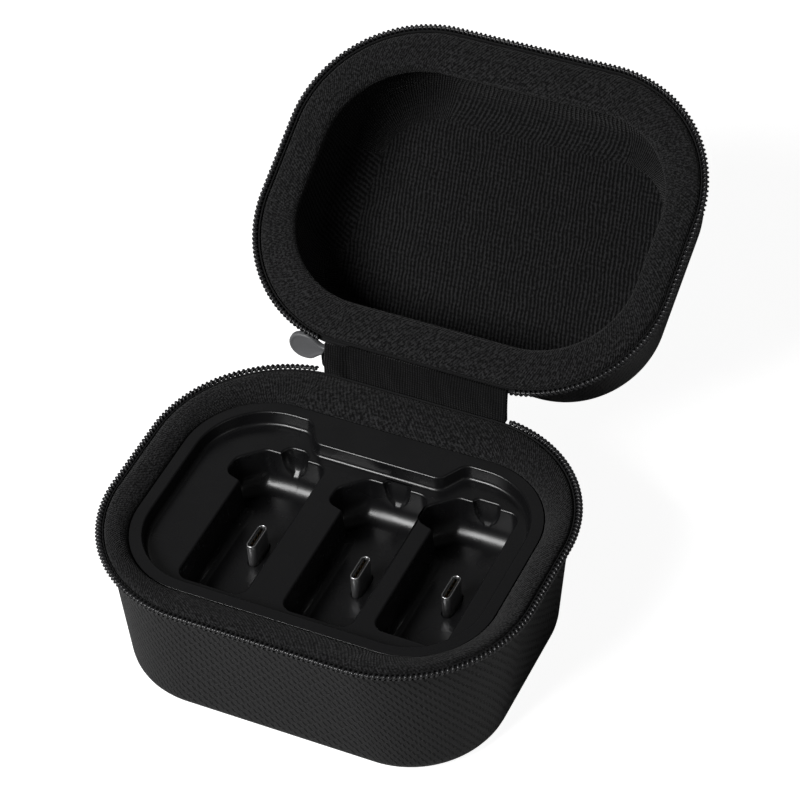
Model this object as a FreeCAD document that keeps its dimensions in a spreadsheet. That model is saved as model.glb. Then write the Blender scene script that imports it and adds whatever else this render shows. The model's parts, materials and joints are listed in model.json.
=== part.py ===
import FreeCAD, Part
import Sketcher
import math
import os

# Zippered carrying case with a three-bay charging tray in its base, lid open.
# Millimetres. Origin: centre of the flat underside. +X right, +Y to the hinge, +Z up.

Vec = FreeCAD.Vector
doc = FreeCAD.newDocument("charging_case")
sheet = doc.addObject("Spreadsheet::Sheet", "Sizes")

# ---------------------------------------------------------------- driving sizes
SIZES = [
    ("zip_half_x", 59.2, "half length of the zip line"),
    ("zip_half_y", 47.7, "half width of the zip line"),
    ("zip_corner", 36.6, "plan corner radius of the zip line"),
    ("zip_mid_y", 1.9, "zip line centre, behind the foot centre"),
    ("mate_level", 42.6, "height where base and lid meet"),
    ("edge_drop", 3.6, "from the meeting plane to a shell edge"),
    ("edge_step", 3.0, "shell edge inside the zip line"),
    ("wall_lean", 5.0, "side wall lean-in from edge to foot"),
    ("foot_corner", 24.4, "plan corner radius at the foot"),
    ("foot_round", 5.0, "radius round the foot and the lid top"),
    ("lid_height", 31.5, "lid height above the meeting plane"),
    ("skin_wall", 1.0, "outer leathercloth thickness"),
    ("foam_wall", 2.6, "moulded foam shell thickness"),
    ("lining_wall", 0.6, "knit lining thickness"),
    ("glue_gap", 0.05, "glue line between bonded layers"),
    ("tape_wall", 0.9, "zip tape thickness"),
    ("coil_width", 1.7, "width and height of a zip coil row"),
    ("seat_gap", 0.3, "clearance between separate pieces"),
    ("hinge_out", 0.4, "hinge axis behind the zip line's back"),
    ("hinge_rise", 4.4, "hinge axis above the meeting plane"),
    ("open_angle", 152.5, "lid opening from closed, degrees"),
    ("strip_left", -20.0, "left end of the hinge strip"),
    ("strip_right", 25.5, "right end of the hinge strip"),
    ("strip_wall", 0.8, "thickness of one hinge strip layer"),
    ("coil_left", -28.5, "left end of the coil's hinge gap"),
    ("coil_right", 27.0, "right end of the coil's hinge gap"),
    ("tray_side", 9.5, "tray rim inside the zip line, left and right"),
    ("tray_ends", 12.8, "tray rim half width less than the zip line's"),
    ("tray_corner", 22.1, "plan corner radius of the tray rim"),
    ("rim_drop", 2.8, "tray rim below the meeting plane"),
    ("rim_width", 3.5, "tray rim width"),
    ("recess_depth", 4.0, "rim to deck"),
    ("bay_depth", 11.4, "deck to bay floor"),
    ("bay_width", 18.9, "bay size across"),
    ("bay_length", 48.6, "bay size front to back"),
    ("bay_one_left", -31.9, "left side of bay one"),
    ("bay_two_left", -2.6, "left side of bay two"),
    ("bay_three_left", 21.5, "left side of bay three"),
    ("bay_front", -27.4, "front of bays one and two"),
    ("bay_three_front", -24.9, "front of bay three"),
    ("bay_corner", 3.0, "plan corner radius of a bay"),
    ("bay_fillet", 2.4, "fillet round a bay floor"),
    ("lobe_reach", 4.9, "finger lobe beyond the bay's left side"),
    ("lobe_radius", 5.6, "radius of the finger lobe"),
    ("lobe_middle", 41.3, "finger lobe centre from the bay front"),
    ("notch_depth", 7.0, "depth of the round notch in a bay's back wall"),
    ("notch_reach", 3.0, "notch behind the bay's back wall"),
    ("notch_left", 5.6, "notch left side from the bay's left side"),
    ("notch_width", 7.6, "notch size across"),
    ("block_half", 19.8, "half length of the raised block behind the deck"),
    ("block_front", 24.4, "front face of the raised block"),
    ("block_round", 3.4, "radius of the block's S-curved ends"),
    ("tray_wall", 1.6, "moulded wall thickness"),
    ("skirt_step", 0.9, "tray skirt inside the rim"),
    ("skirt_drop", 2.0, "tray skirt below the bay floors"),
    ("plug_length", 8.34, "plug shell, long side"),
    ("plug_width", 2.56, "plug shell, short side"),
    ("plug_height", 6.9, "plug above the bay floor"),
    ("plug_wall", 0.32, "plug shell wall"),
    ("plug_offset_x", 10.7, "plug centre from the bay's left side"),
    ("plug_offset_y", 23.4, "plug centre from the bay's front"),
    ("pan_level", 5.4, "underside of the tray's bottom pan"),
    ("pan_lean", 2.4, "pan side lean-in"),
    ("post_radius", 2.9, "screw post radius"),
    ("screw_radius", 1.0, "screw shank radius"),
    ("screw_head", 1.9, "screw head radius"),
    ("screw_drop", 3.4, "screw seat below the skirt"),
    ("screw_length", 9.0, "screw shank length"),
    ("stand_radius", 2.0, "main board standoff radius"),
    ("stand_inset", 2.5, "standoff centre inside the board edge"),
    ("screw_left_x", -42.3, "left screws"),
    ("screw_left_y", 14.0, "left screws, each side of the middle"),
    ("screw_right_x", 43.9, "right screws"),
    ("screw_right_y", 8.0, "right screws, each side of the middle"),
    ("board_side", 11.7, "main board edge inside the tray rim, left and right"),
    ("board_ends", 8.9, "main board edge inside the tray rim, front and back"),
    ("board_drop", 6.2, "underside of the main board below the skirt"),
    ("board_wall", 1.2, "circuit board thickness"),
    ("cell_half_x", 34.0, "battery cell half length"),
    ("cell_half_y", 19.5, "battery cell half width"),
    ("cell_thick", 7.4, "battery cell thickness"),
    ("pad_thick", 0.7, "foam pad under the cell"),
    ("inlet_x", -3.0, "charging inlet centre"),
    ("inlet_length", 8.94, "inlet shell, long side"),
    ("inlet_width", 3.26, "inlet shell, short side"),
    ("inlet_depth", 7.35, "inlet shell, mouth to back"),
    ("bezel_half_x", 11.0, "inlet bezel half length"),
    ("bezel_half_z", 4.2, "inlet bezel half height"),
    ("bezel_lip", 1.6, "bezel flange beyond its body"),
    ("bezel_step", 4.7, "outer face of the bezel inside the zip line"),
    ("bezel_depth", 9.7, "bezel body, face to its inner end"),
    ("lid_band_side", 11.2, "width of the lid band, left and right"),
    ("lid_band_ends", 13.6, "width of the lid band, front and back"),
    ("lid_band_corner", 25.0, "plan corner radius of the lid band opening"),
    ("light_x", 6.0, "status light centre"),
    ("light_radius", 1.0, "status light pipe radius"),
    ("slider_left", -27.5, "left end of the zip slider"),
    ("slider_length", 7.2, "zip slider along the chain"),
    ("slider_sink", 0.3, "inner face of the slider inside the zip line's back"),
    ("slider_thick", 2.6, "slider thickness"),
    ("slider_drop", 1.4, "bottom of the slider below the meeting plane"),
    ("slider_height", 6.0, "slider height"),
    ("tab_rise", 1.4, "centre line of the pull tab above the meeting plane"),
    ("tab_pivot_x", -23.9, "pull tab pivot"),
    ("tab_reach", 10.5, "pivot to the centre of the tab's head"),
    ("tab_head", 4.2, "radius of the tab's head"),
    ("tab_neck", 1.4, "half width of the tab's neck"),
    ("tab_thick", 1.8, "pull tab thickness"),
    ("pin_radius", 0.5, "slider bridge bar radius"),
    ("pin_gap", 0.08, "running clearance on the bridge bar"),
]


class Size:
    """A length as a number together with the sheet expression that gives it."""

    def __init__(self, number, text):
        self.number = number
        self.text = text

    def joined(self, other, sign, number):
        text = other.text if isinstance(other, Size) else str(other)
        return Size(number, f"({self.text} {sign} {text})")

    def __add__(self, other):
        return self.joined(other, "+", self.number + plain(other))

    def __sub__(self, other):
        return self.joined(other, "-", self.number - plain(other))

    def __mul__(self, other):
        return self.joined(other, "*", self.number * plain(other))

    def __truediv__(self, other):
        return self.joined(other, "/", self.number / plain(other))

    def __neg__(self):
        return self * -1


def plain(value):
    return value.number if isinstance(value, Size) else float(value)


S = {}
for row, (alias, value, note) in enumerate(SIZES, 1):
    sheet.set(f"A{row}", note)
    sheet.set(f"B{row}", str(value))
    sheet.setAlias(f"B{row}", alias)
    S[alias] = Size(float(value), f"Sizes.{alias}")
doc.recompute()

# places that follow from the sizes above
zip_back = S["zip_mid_y"] + S["zip_half_y"]
S["hinge_y"] = zip_back + S["hinge_out"]
S["hinge_level"] = S["mate_level"] + S["hinge_rise"]
S["lid_band_half_x"] = S["zip_half_x"] - S["lid_band_side"]
S["lid_band_half_y"] = S["zip_half_y"] - S["lid_band_ends"]
S["tray_half_x"] = S["zip_half_x"] - S["tray_side"]
S["tray_half_y"] = S["zip_half_y"] - S["tray_ends"]
S["rim_level"] = S["mate_level"] - S["rim_drop"]
S["skirt_level"] = S["rim_level"] - S["recess_depth"] - S["bay_depth"] - S["skirt_drop"]
S["plug_foot"] = S["skirt_level"] + S["glue_gap"]
S["screw_seat"] = S["skirt_level"] - S["screw_drop"]
S["board_half_x"] = S["tray_half_x"] - S["board_side"]
S["board_half_y"] = S["tray_half_y"] - S["board_ends"]
S["board_level"] = S["skirt_level"] - S["board_drop"]
S["bezel_face"] = zip_back - S["bezel_step"]
S["slider_front"] = zip_back - S["slider_sink"]
S["slider_low"] = S["mate_level"] - S["slider_drop"]
S["tab_level"] = S["mate_level"] + S["tab_rise"]

NOUGHT = Size(0.0, "0")
parts = []


# ---------------------------------------------------------------- drawing helpers
def new_body(label):
    body = doc.addObject("PartDesign::Body", label)
    body.Label = label
    parts.append(body)
    return body


def plane_of(body, role):
    return [f for f in body.Origin.OriginFeatures if f.Role == role][0]


def sketch_on(body, name, role, level):
    """An empty sketch on an origin plane, lifted along the plane's normal by level."""
    sketch = body.newObject("Sketcher::SketchObject", name)
    sketch.AttachmentSupport = [(plane_of(body, role), "")]
    sketch.MapMode = "FlatFace"
    sketch.AttachmentOffset = FreeCAD.Placement(Vec(0, 0, plain(level)), FreeCAD.Rotation())
    if isinstance(level, Size):
        sketch.setExpression("AttachmentOffset.Base.z", level.text)
    return sketch


def bind(sketch, kind, first, second, third, fourth, name, value):
    """A signed distance constraint, turned round when negative, bound to the sheet."""
    if value.number < 0:
        first, second, third, fourth, value = third, fourth, first, second, -value
    index = sketch.addConstraint(Sketcher.Constraint(kind, first, second, third, fourth, value.number))
    sketch.renameConstraint(index, name)
    sketch.setExpression(f"Constraints.{name}", value.text)


def rectangle(sketch, left, right, low, high, tag="r"):
    """Four lines with every side set from the origin."""
    x0, x1, y0, y1 = left.number, right.number, low.number, high.number
    corners = [Vec(x0, y0), Vec(x1, y0), Vec(x1, y1), Vec(x0, y1)]
    base = sketch.GeometryCount
    for i in range(4):
        sketch.addGeometry(Part.LineSegment(corners[i], corners[(i + 1) % 4]), False)
    for i in range(4):
        sketch.addConstraint(Sketcher.Constraint("Coincident", base + i, 2, base + (i + 1) % 4, 1))
    for i, way in enumerate(("Horizontal", "Vertical", "Horizontal", "Vertical")):
        sketch.addConstraint(Sketcher.Constraint(way, base + i))
    bind(sketch, "DistanceX", -1, 1, base, 1, tag + "left", left)
    bind(sketch, "DistanceX", -1, 1, base + 1, 1, tag + "right", right)
    bind(sketch, "DistanceY", -1, 1, base, 1, tag + "low", low)
    bind(sketch, "DistanceY", -1, 1, base + 2, 1, tag + "high", high)


def rounded(sketch, half_x, half_y, corner, mid_x=NOUGHT, mid_y=NOUGHT, tag="o"):
    """A rounded rectangle: four lines, four equal tangent arcs."""
    hx, hy, r = half_x.number, half_y.number, corner.number
    mx, my = mid_x.number, mid_y.number
    base = sketch.GeometryCount
    sides = [((-hx + r, -hy), (hx - r, -hy)), ((hx, -hy + r), (hx, hy - r)),
             ((hx - r, hy), (-hx + r, hy)), ((-hx, hy - r), (-hx, -hy + r))]
    for (ax, ay), (bx, by) in sides:
        sketch.addGeometry(Part.LineSegment(Vec(mx + ax, my + ay), Vec(mx + bx, my + by)), False)
    for i, (sx, sy) in enumerate(((1, -1), (1, 1), (-1, 1), (-1, -1))):
        circle = Part.Circle(Vec(mx + sx * (hx - r), my + sy * (hy - r)), Vec(0, 0, 1), r)
        start = -math.pi / 2 + i * math.pi / 2
        sketch.addGeometry(Part.ArcOfCircle(circle, start, start + math.pi / 2), False)
    for i in range(4):
        sketch.addConstraint(Sketcher.Constraint("Tangent", base + i, 2, base + 4 + i, 1))
        sketch.addConstraint(Sketcher.Constraint("Tangent", base + 4 + i, 2, base + (i + 1) % 4, 1))
    for i, way in enumerate(("Horizontal", "Vertical", "Horizontal", "Vertical")):
        sketch.addConstraint(Sketcher.Constraint(way, base + i))
    for i in (5, 6):
        sketch.addConstraint(Sketcher.Constraint("Equal", base + 4, base + i))
    index = sketch.addConstraint(Sketcher.Constraint("Radius", base + 4, r))
    sketch.renameConstraint(index, tag + "corner")
    sketch.setExpression(f"Constraints.{tag}corner", corner.text)
    bind(sketch, "DistanceX", -1, 1, base + 3, 1, tag + "left", mid_x - half_x)
    bind(sketch, "DistanceX", -1, 1, base + 1, 1, tag + "right", mid_x + half_x)
    bind(sketch, "DistanceY", -1, 1, base, 1, tag + "low", mid_y - half_y)
    bind(sketch, "DistanceY", -1, 1, base + 2, 1, tag + "high", mid_y + half_y)


def stadium(sketch, length, width, mid_x, mid_y, tag="s"):
    """A slot shape, long along the sketch's second axis."""
    rounded(sketch, width / 2, length / 2, width / 2 - 0.02, mid_x, mid_y, tag)


def circle(sketch, x, y, radius, tag):
    index = sketch.addGeometry(Part.Circle(Vec(x.number, y.number), Vec(0, 0, 1), radius.number), False)
    ring = sketch.addConstraint(Sketcher.Constraint("Radius", index, radius.number))
    sketch.renameConstraint(ring, tag + "radius")
    sketch.setExpression(f"Constraints.{tag}radius", radius.text)
    bind(sketch, "DistanceX", -1, 1, index, 3, tag + "x", x)
    bind(sketch, "DistanceY", -1, 1, index, 3, tag + "y", y)


def pad(body, sketch, length, reverse=False):
    feature = body.newObject("PartDesign::Pad", sketch.Name + "_pad")
    feature.Profile = sketch
    feature.Length = length.number
    feature.setExpression("Length", length.text)
    feature.Reversed = reverse
    return feature


def pocket(body, sketch, length, reverse=False):
    feature = body.newObject("PartDesign::Pocket", sketch.Name + "_cut")
    feature.Profile = sketch
    feature.Length = length.number
    feature.setExpression("Length", length.text)
    feature.Reversed = reverse
    return feature


def loft(body, sketches, cut=False):
    kind = "SubtractiveLoft" if cut else "AdditiveLoft"
    doc.recompute()
    feature = body.newObject("PartDesign::" + kind, sketches[0].Name + "_loft")
    feature.Profile = sketches[0]
    feature.Sections = sketches[1:]
    feature.Ruled = True
    return feature


def fillet(body, wanted, radius):
    """Rounds the edges of the body's tip that wanted() picks."""
    doc.recompute()
    base = body.Tip
    names = [f"Edge{i}" for i, edge in enumerate(base.Shape.Edges, 1) if wanted(edge)]
    feature = body.newObject("PartDesign::Fillet", base.Name + "_round")
    feature.Base = (base, names)
    feature.Radius = radius.number
    feature.setExpression("Radius", radius.text)
    return feature


def flat_at(level):
    """Picks edges that lie wholly at one height."""
    def test(edge):
        box = edge.BoundBox
        return abs(box.ZMin - level.number) < 0.01 and abs(box.ZMax - level.number) < 0.01
    return test


# ---------------------------------------------------------------- outlines of the case
def wall_outline(open_level, closed_level, level, inset):
    """Half sizes, corner and middle of the case wall at a height, moved in by inset."""
    span = closed_level - open_level
    share = (level - open_level) / span
    shrink = S["edge_step"] + S["wall_lean"] * share + inset
    corner_open = S["zip_corner"] - S["edge_step"]
    corner = corner_open + (S["foot_corner"] - corner_open) * share - inset
    mid_y = S["zip_mid_y"] * (share * -1 + 1)
    return S["zip_half_x"] - shrink, S["zip_half_y"] - shrink, corner, mid_y


def wall_sketch(body, name, ends, level, inset):
    half_x, half_y, corner, mid_y = wall_outline(ends[0], ends[1], level, inset)
    sketch = sketch_on(body, name, "XY_Plane", level)
    rounded(sketch, half_x, half_y, corner, NOUGHT, mid_y)
    return sketch


def rounded_end(body, name, ends, inset, way):
    """Sections of a cup from its closed end to its rim; three of them turn the rounded edge."""
    radius = S["foot_round"] - inset
    closed = ends[1] - inset * way
    turn = [(NOUGHT + 0, radius * 0.6), (radius * 0.45, radius * 0.12), (radius, NOUGHT + 0)]
    rows = [wall_sketch(body, f"{name}{i}", ends, closed - rise * way, inset + offset)
            for i, (rise, offset) in enumerate(turn)]
    rows.append(wall_sketch(body, name + "_rim", ends, ends[0], inset))
    return rows


def cup(label, ends, inset, wall):
    """One moulded layer of the case: a leaning cup with a rounded closed end."""
    body = new_body(label)
    way = 1 if ends[1].number > ends[0].number else -1
    loft(body, rounded_end(body, label + "_out", ends, inset, way))
    loft(body, rounded_end(body, label + "_in", ends, inset + wall, way), cut=True)
    return body


def ring(label, low, high, outer_low, outer_high, inner_low=None, inner_high=None):
    """A leaning ring, or plate, that follows the zip line; its insets are from that line."""
    body = new_body(label)
    faces = [("o", (outer_low, outer_high), False)]
    if inner_low is not None:
        faces.append(("i", (inner_low, inner_high), True))
    for tag, pair, cut in faces:
        sketches = []
        for where, level, inset in (("a", low, pair[0]), ("b", high, pair[1])):
            sketch = sketch_on(body, f"{label}_{tag}{where}", "XY_Plane", level)
            rounded(sketch, S["zip_half_x"] - inset, S["zip_half_y"] - inset,
                    S["zip_corner"] - inset, NOUGHT, S["zip_mid_y"])
            sketches.append(sketch)
        loft(body, sketches, cut)
    return body


base_ends = (S["mate_level"] - S["edge_drop"], NOUGHT + 0)
lid_ends = (S["mate_level"] + S["edge_drop"], S["mate_level"] + S["lid_height"])
gap = S["glue_gap"]
foam_inset = S["skin_wall"] + gap
lining_inset = foam_inset + S["foam_wall"] + gap
inner_inset = lining_inset + S["lining_wall"]


def opened(bodies):
    """Turns lid pieces, modelled closed, back about the hinge axis to the open pose."""
    axis_point = Vec(0, S["hinge_y"].number, S["hinge_level"].number)
    turn = FreeCAD.Rotation(Vec(1, 0, 0), -S["open_angle"].number)
    for body in bodies:
        body.Placement = FreeCAD.Placement(Vec(0, 0, 0), turn, axis_point)


# ---------------------------------------------------------------- soft case, base and lid
NONE = NOUGHT + 0
INLET_LEVEL = S["board_level"] + S["board_wall"] + S["inlet_width"] / 2 + 0.02
BEZEL_CORNER = S["bezel_lip"] * 0.75


def inlet_window(body):
    """The hole for the charging inlet's bezel through a layer's back wall."""
    sketch = sketch_on(body, body.Label + "_window", "XZ_Plane", NOUGHT)
    grow = S["seat_gap"]
    rounded(sketch, S["bezel_half_x"] + grow, S["bezel_half_z"] + grow, BEZEL_CORNER, NOUGHT, INLET_LEVEL)
    return pocket(body, sketch, S["zip_half_y"] * 2)


def band(label, edge, mate_side, hole):
    """The padded ring that lies on a shell edge and reaches in to its opening."""
    clear = S["tape_wall"] + 0.4
    body = ring(label, edge, mate_side, S["edge_step"] + clear, S["edge_step"] * 0.16 + clear)
    doc.recompute()
    sketch = sketch_on(body, label + "_hole", "XY_Plane", S["mate_level"])
    rounded(sketch, hole[0], hole[1], hole[2], NOUGHT, hole[3])
    pocket(body, sketch, S["edge_drop"] * 4).Midplane = True
    return body


def coil(label, low, high):
    """A zip coil row as a ring, cut away behind the hinge."""
    body = ring(label, low, high, NONE, NONE, S["coil_width"], S["coil_width"])
    sketch = sketch_on(body, label + "_gap", "XY_Plane", S["mate_level"])
    back = S["zip_mid_y"] + S["zip_half_y"]
    rectangle(sketch, S["coil_left"], S["coil_right"], back - S["zip_corner"] / 3, back + 2)
    pocket(body, sketch, S["coil_width"] * 4).Midplane = True
    return body


def case_half(prefix, ends, way, hole):
    """Skin, foam shell, lining, rim band, zip tape and coil; way points away from the meeting plane."""
    mate = S["mate_level"]
    edge = ends[0]
    step = S["edge_step"]
    tape = S["tape_wall"]
    layers = [cup(prefix + "_skin", ends, NONE, S["skin_wall"]),
              cup(prefix + "_foam_shell", ends, foam_inset, S["foam_wall"]),
              cup(prefix + "_lining", ends, lining_inset, S["lining_wall"])]
    tape_edge = edge - gap * way
    tape_end = mate + (S["coil_width"] + gap) * way
    top = step * 0.16
    layers.append(ring(prefix + "_zip_tape", tape_edge, tape_end, step, top, step + tape, top + tape))
    layers.append(coil(prefix + "_zip_coil", mate + S["coil_width"] * way, mate + gap * way))
    layers.append(band(prefix + "_rim_band", edge - gap * way, mate + S["seat_gap"] * way, hole))
    return layers


grow = S["seat_gap"]
base_hole = (S["tray_half_x"] + grow, S["tray_half_y"] + grow, S["tray_corner"] + grow, NONE)
base_layers = case_half("base", base_ends, -1, base_hole)
for layer in base_layers[:3]:
    inlet_window(layer)
lid_hole = (S["lid_band_half_x"], S["lid_band_half_y"], S["lid_band_corner"], S["zip_mid_y"])
lid_layers = case_half("lid", lid_ends, 1, lid_hole)
opened(lid_layers)


# ---------------------------------------------------------------- hinge strip
def turned(y, z):
    """Where a closed-lid point in the Y-Z plane lies when the lid is open."""
    number = math.radians(S["open_angle"].number)
    cosine = Size(math.cos(number), "cos(Sizes.open_angle)")
    sine = Size(math.sin(number), "sin(Sizes.open_angle)")
    dy = y - S["hinge_y"]
    dz = z - S["hinge_level"]
    return S["hinge_y"] + dy * cosine + dz * sine, S["hinge_level"] - dy * sine + dz * cosine


def polygon(sketch, points):
    """A closed run of lines with every corner set from the origin."""
    count = len(points)
    for i in range(count):
        (ax, ay), (bx, by) = points[i], points[(i + 1) % count]
        line = Part.LineSegment(Vec(ax.number, ay.number), Vec(bx.number, by.number))
        sketch.addGeometry(line, False)
    for i in range(count):
        sketch.addConstraint(Sketcher.Constraint("Coincident", i, 2, (i + 1) % count, 1))
    for i, (x, y) in enumerate(points):
        bind(sketch, "DistanceX", -1, 1, i, 1, f"x{i}", x)
        bind(sketch, "DistanceY", -1, 1, i, 1, f"y{i}", y)


def hinge_layer(label, shift):
    """One cloth layer that stands from the base's tape to the open lid's tape."""
    body = new_body(label)
    sketch = sketch_on(body, label + "_side", "YZ_Plane", S["strip_left"])
    back = S["zip_mid_y"] + S["zip_half_y"] - S["edge_step"] * 0.16 - S["tape_wall"] / 2
    low = S["mate_level"] - S["coil_width"] + gap
    high = S["mate_level"] + S["coil_width"] - gap
    top_y, top_z = turned(back, high)
    top_z = top_z - S["tape_wall"] / 2 - gap * 3
    inner = shift - S["strip_wall"] / 2
    outer = shift + S["strip_wall"] / 2
    polygon(sketch, [(back + inner, low), (back + outer, low), (top_y + outer, top_z), (top_y + inner, top_z)])
    pad(body, sketch, S["strip_right"] - S["strip_left"])
    return body


hinge_layer("hinge_strip_outer", (S["strip_wall"] + gap) / 2)
hinge_layer("hinge_strip_inner", -(S["strip_wall"] + gap) / 2)


# ---------------------------------------------------------------- charging tray
deck = S["rim_level"] - S["recess_depth"]
plate_low = deck - S["tray_wall"]
floor = deck - S["bay_depth"]
cup_low = floor - S["tray_wall"]
BAYS = [("one", S["bay_one_left"], S["bay_front"], S["notch_reach"]),
        ("two", S["bay_two_left"], S["bay_front"], S["notch_reach"]),
        ("three", S["bay_three_left"], S["bay_three_front"], S["notch_reach"] / 2)]
SCREWS = [(S["screw_left_x"], S["screw_left_y"]), (S["screw_left_x"], -S["screw_left_y"]),
          (S["screw_right_x"], S["screw_right_y"]), (S["screw_right_x"], -S["screw_right_y"])]


def tray_outline(body, name, level, inset):
    sketch = sketch_on(body, name, "XY_Plane", level)
    rounded(sketch, S["tray_half_x"] - inset, S["tray_half_y"] - inset, S["tray_corner"] - inset)
    return sketch


tray = new_body("charging_tray")
skirt = S["skirt_step"]
pad(tray, tray_outline(tray, "skirt_out", S["skirt_level"], skirt), plate_low - S["skirt_level"])
doc.recompute()
skirt_cut = tray_outline(tray, "skirt_in", S["skirt_level"], skirt + S["tray_wall"])
pocket(tray, skirt_cut, plate_low - S["skirt_level"], reverse=True)
pad(tray, tray_outline(tray, "rim", plate_low, NONE), S["rim_level"] - plate_low)
wall = S["tray_wall"]
for name, left, front, reach in BAYS:
    sketch = sketch_on(tray, f"bay_{name}_box", "XY_Plane", cup_low)
    half_x = (S["bay_width"] + S["lobe_reach"] + wall * 2) / 2
    half_y = (S["bay_length"] + reach + wall * 2) / 2
    rounded(sketch, half_x, half_y, S["bay_corner"] + wall, left - S["lobe_reach"] - wall + half_x,
            front - wall + half_y)
    pad(tray, sketch, plate_low - cup_low)
for number, (x, y) in enumerate(SCREWS):
    sketch = sketch_on(tray, f"boss_{number}", "XY_Plane", S["skirt_level"])
    circle(sketch, x, y, S["post_radius"], "boss")
    pad(tray, sketch, plate_low - S["skirt_level"])
    hole = sketch_on(tray, f"boss_hole_{number}", "XY_Plane", S["skirt_level"])
    circle(hole, x, y, S["screw_radius"] + gap, "hole")
    pocket(tray, hole, S["screw_length"] - 1, reverse=True)
pocket(tray, tray_outline(tray, "recess", S["rim_level"], S["rim_width"]), S["recess_depth"])
block = sketch_on(tray, "block", "XY_Plane", deck)
recess_back = S["tray_half_y"] - S["rim_width"]
rectangle(block, -S["block_half"], S["block_half"], S["block_front"], recess_back + S["rim_width"] / 2)
pad(tray, block, S["recess_depth"])


def block_corner(edge):
    """Upright edges at the raised block's ends, both the outer and the inner corners."""
    box = edge.BoundBox
    upright = box.ZLength > S["recess_depth"].number - 0.1 and box.XLength + box.YLength < 0.01
    at_x = abs(abs(box.XMin) - S["block_half"].number) < 0.01
    near_front = abs(box.YMin - S["block_front"].number) < 0.01
    near_back = abs(box.YMin - recess_back.number) < 0.01
    return upright and at_x and (near_front or near_back)


fillet(tray, block_corner, S["block_round"])
for name, left, front, _ in BAYS:
    half_x = S["bay_width"] / 2
    half_y = S["bay_length"] / 2
    sketch = sketch_on(tray, f"bay_{name}", "XY_Plane", deck)
    rounded(sketch, half_x, half_y, S["bay_corner"], left + half_x, front + half_y)
    pocket(tray, sketch, S["bay_depth"])
fillet(tray, flat_at(floor), S["bay_fillet"])
for name, left, front, _ in BAYS:
    lobe = sketch_on(tray, f"lobe_{name}", "XY_Plane", deck)
    circle(lobe, left + S["lobe_radius"] - S["lobe_reach"], front + S["lobe_middle"], S["lobe_radius"], "lobe")
    pocket(tray, lobe, S["bay_depth"])
for name, left, front, reach in BAYS:
    back = front + S["bay_length"]
    notch = sketch_on(tray, f"notch_{name}", "XY_Plane", deck)
    half = S["notch_width"] / 2
    rounded(notch, half, half, half - 0.6, left + S["notch_left"] + half, back + reach - half)
    pocket(tray, notch, S["notch_depth"])
    slot = sketch_on(tray, f"slot_{name}", "XY_Plane", floor)
    spare = S["seat_gap"] * 2
    stadium(slot, S["plug_length"] + spare, S["plug_width"] + spare, left + S["plug_offset_x"],
            front + S["plug_offset_y"])
    pocket(tray, slot, wall + 0.5)


# ---------------------------------------------------------------- pan, screws and electronics
pan = new_body("tray_bottom_pan")
pan_floor = S["pan_level"] + wall


def pan_outline(name, level, inset):
    """The pan leans in towards its floor, as the case wall does."""
    share = (S["skirt_level"] - level) / (S["skirt_level"] - S["pan_level"])
    return tray_outline(pan, name, level, skirt + S["pan_lean"] * share + inset)


pan_top = S["skirt_level"] - gap
loft(pan, [pan_outline("pan_foot", S["pan_level"], NONE), pan_outline("pan_brim", pan_top, NONE)])
doc.recompute()
loft(pan, [pan_outline("pan_in_foot", pan_floor, wall), pan_outline("pan_in_brim", pan_top, wall)], cut=True)
doc.recompute()
for number, (x, y) in enumerate(SCREWS):
    for tag, low, radius, height, cut in (
            ("post", S["pan_level"], S["post_radius"], pan_top - S["pan_level"], False),
            ("well", S["pan_level"], S["screw_head"] + grow, S["screw_seat"] - S["pan_level"], True),
            ("bore", S["screw_seat"], S["screw_radius"] + gap * 3, pan_top - S["screw_seat"] + 1, True)):
        sketch = sketch_on(pan, f"{tag}_{number}", "XY_Plane", low)
        circle(sketch, x, y, radius, tag)
        if cut:
            pocket(pan, sketch, height, reverse=True)
        else:
            pad(pan, sketch, height)
stand_x = S["board_half_x"] - S["stand_inset"]
stand_y = S["board_half_y"] - S["stand_inset"]
for number, (sx, sy) in enumerate(((1, 1), (-1, 1), (-1, -1), (1, -1))):
    sketch = sketch_on(pan, f"stand_{number}", "XY_Plane", pan_floor - gap)
    circle(sketch, stand_x * sx, stand_y * sy, S["stand_radius"], "stand")
    pad(pan, sketch, S["board_level"] - pan_floor + gap)
board_top = S["board_level"] + S["board_wall"]
tongue_half = S["bezel_half_x"] - S["bezel_lip"] * 1.6
window = sketch_on(pan, "pan_window", "XZ_Plane", NOUGHT)
rectangle(window, -tongue_half - 1, tongue_half + 1, S["board_level"] - 1, S["skirt_level"] - 1)
pocket(pan, window, S["tray_half_y"] * 2)

board = new_body("main_board")
sketch = sketch_on(board, "board_outline", "XY_Plane", S["board_level"])
rounded(sketch, S["board_half_x"], S["board_half_y"], S["stand_inset"])
pad(board, sketch, S["board_wall"])
plate_in = S["bezel_face"] - S["bezel_lip"] * 1.5
sketch = sketch_on(board, "board_tongue", "XY_Plane", S["board_level"])
rectangle(sketch, -tongue_half, tongue_half, S["board_half_y"] - 2, plate_in - grow)
pad(board, sketch, S["board_wall"])


def block_body(label, left, right, front, back, low, high):
    """A plain rectangular block set by its six faces."""
    body = new_body(label)
    sketch = sketch_on(body, label + "_plan", "XY_Plane", low)
    rectangle(sketch, left, right, front, back)
    pad(body, sketch, high - low)
    return body


def fixed(number):
    """A size of a bought component."""
    return Size(float(number), str(number))


def chip(label, x, y, wide, deep, tall):
    """A component that stands on the main board."""
    block_body(label, fixed(x - wide / 2), fixed(x + wide / 2), fixed(y - deep / 2), fixed(y + deep / 2),
               board_top, board_top + tall)


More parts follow.
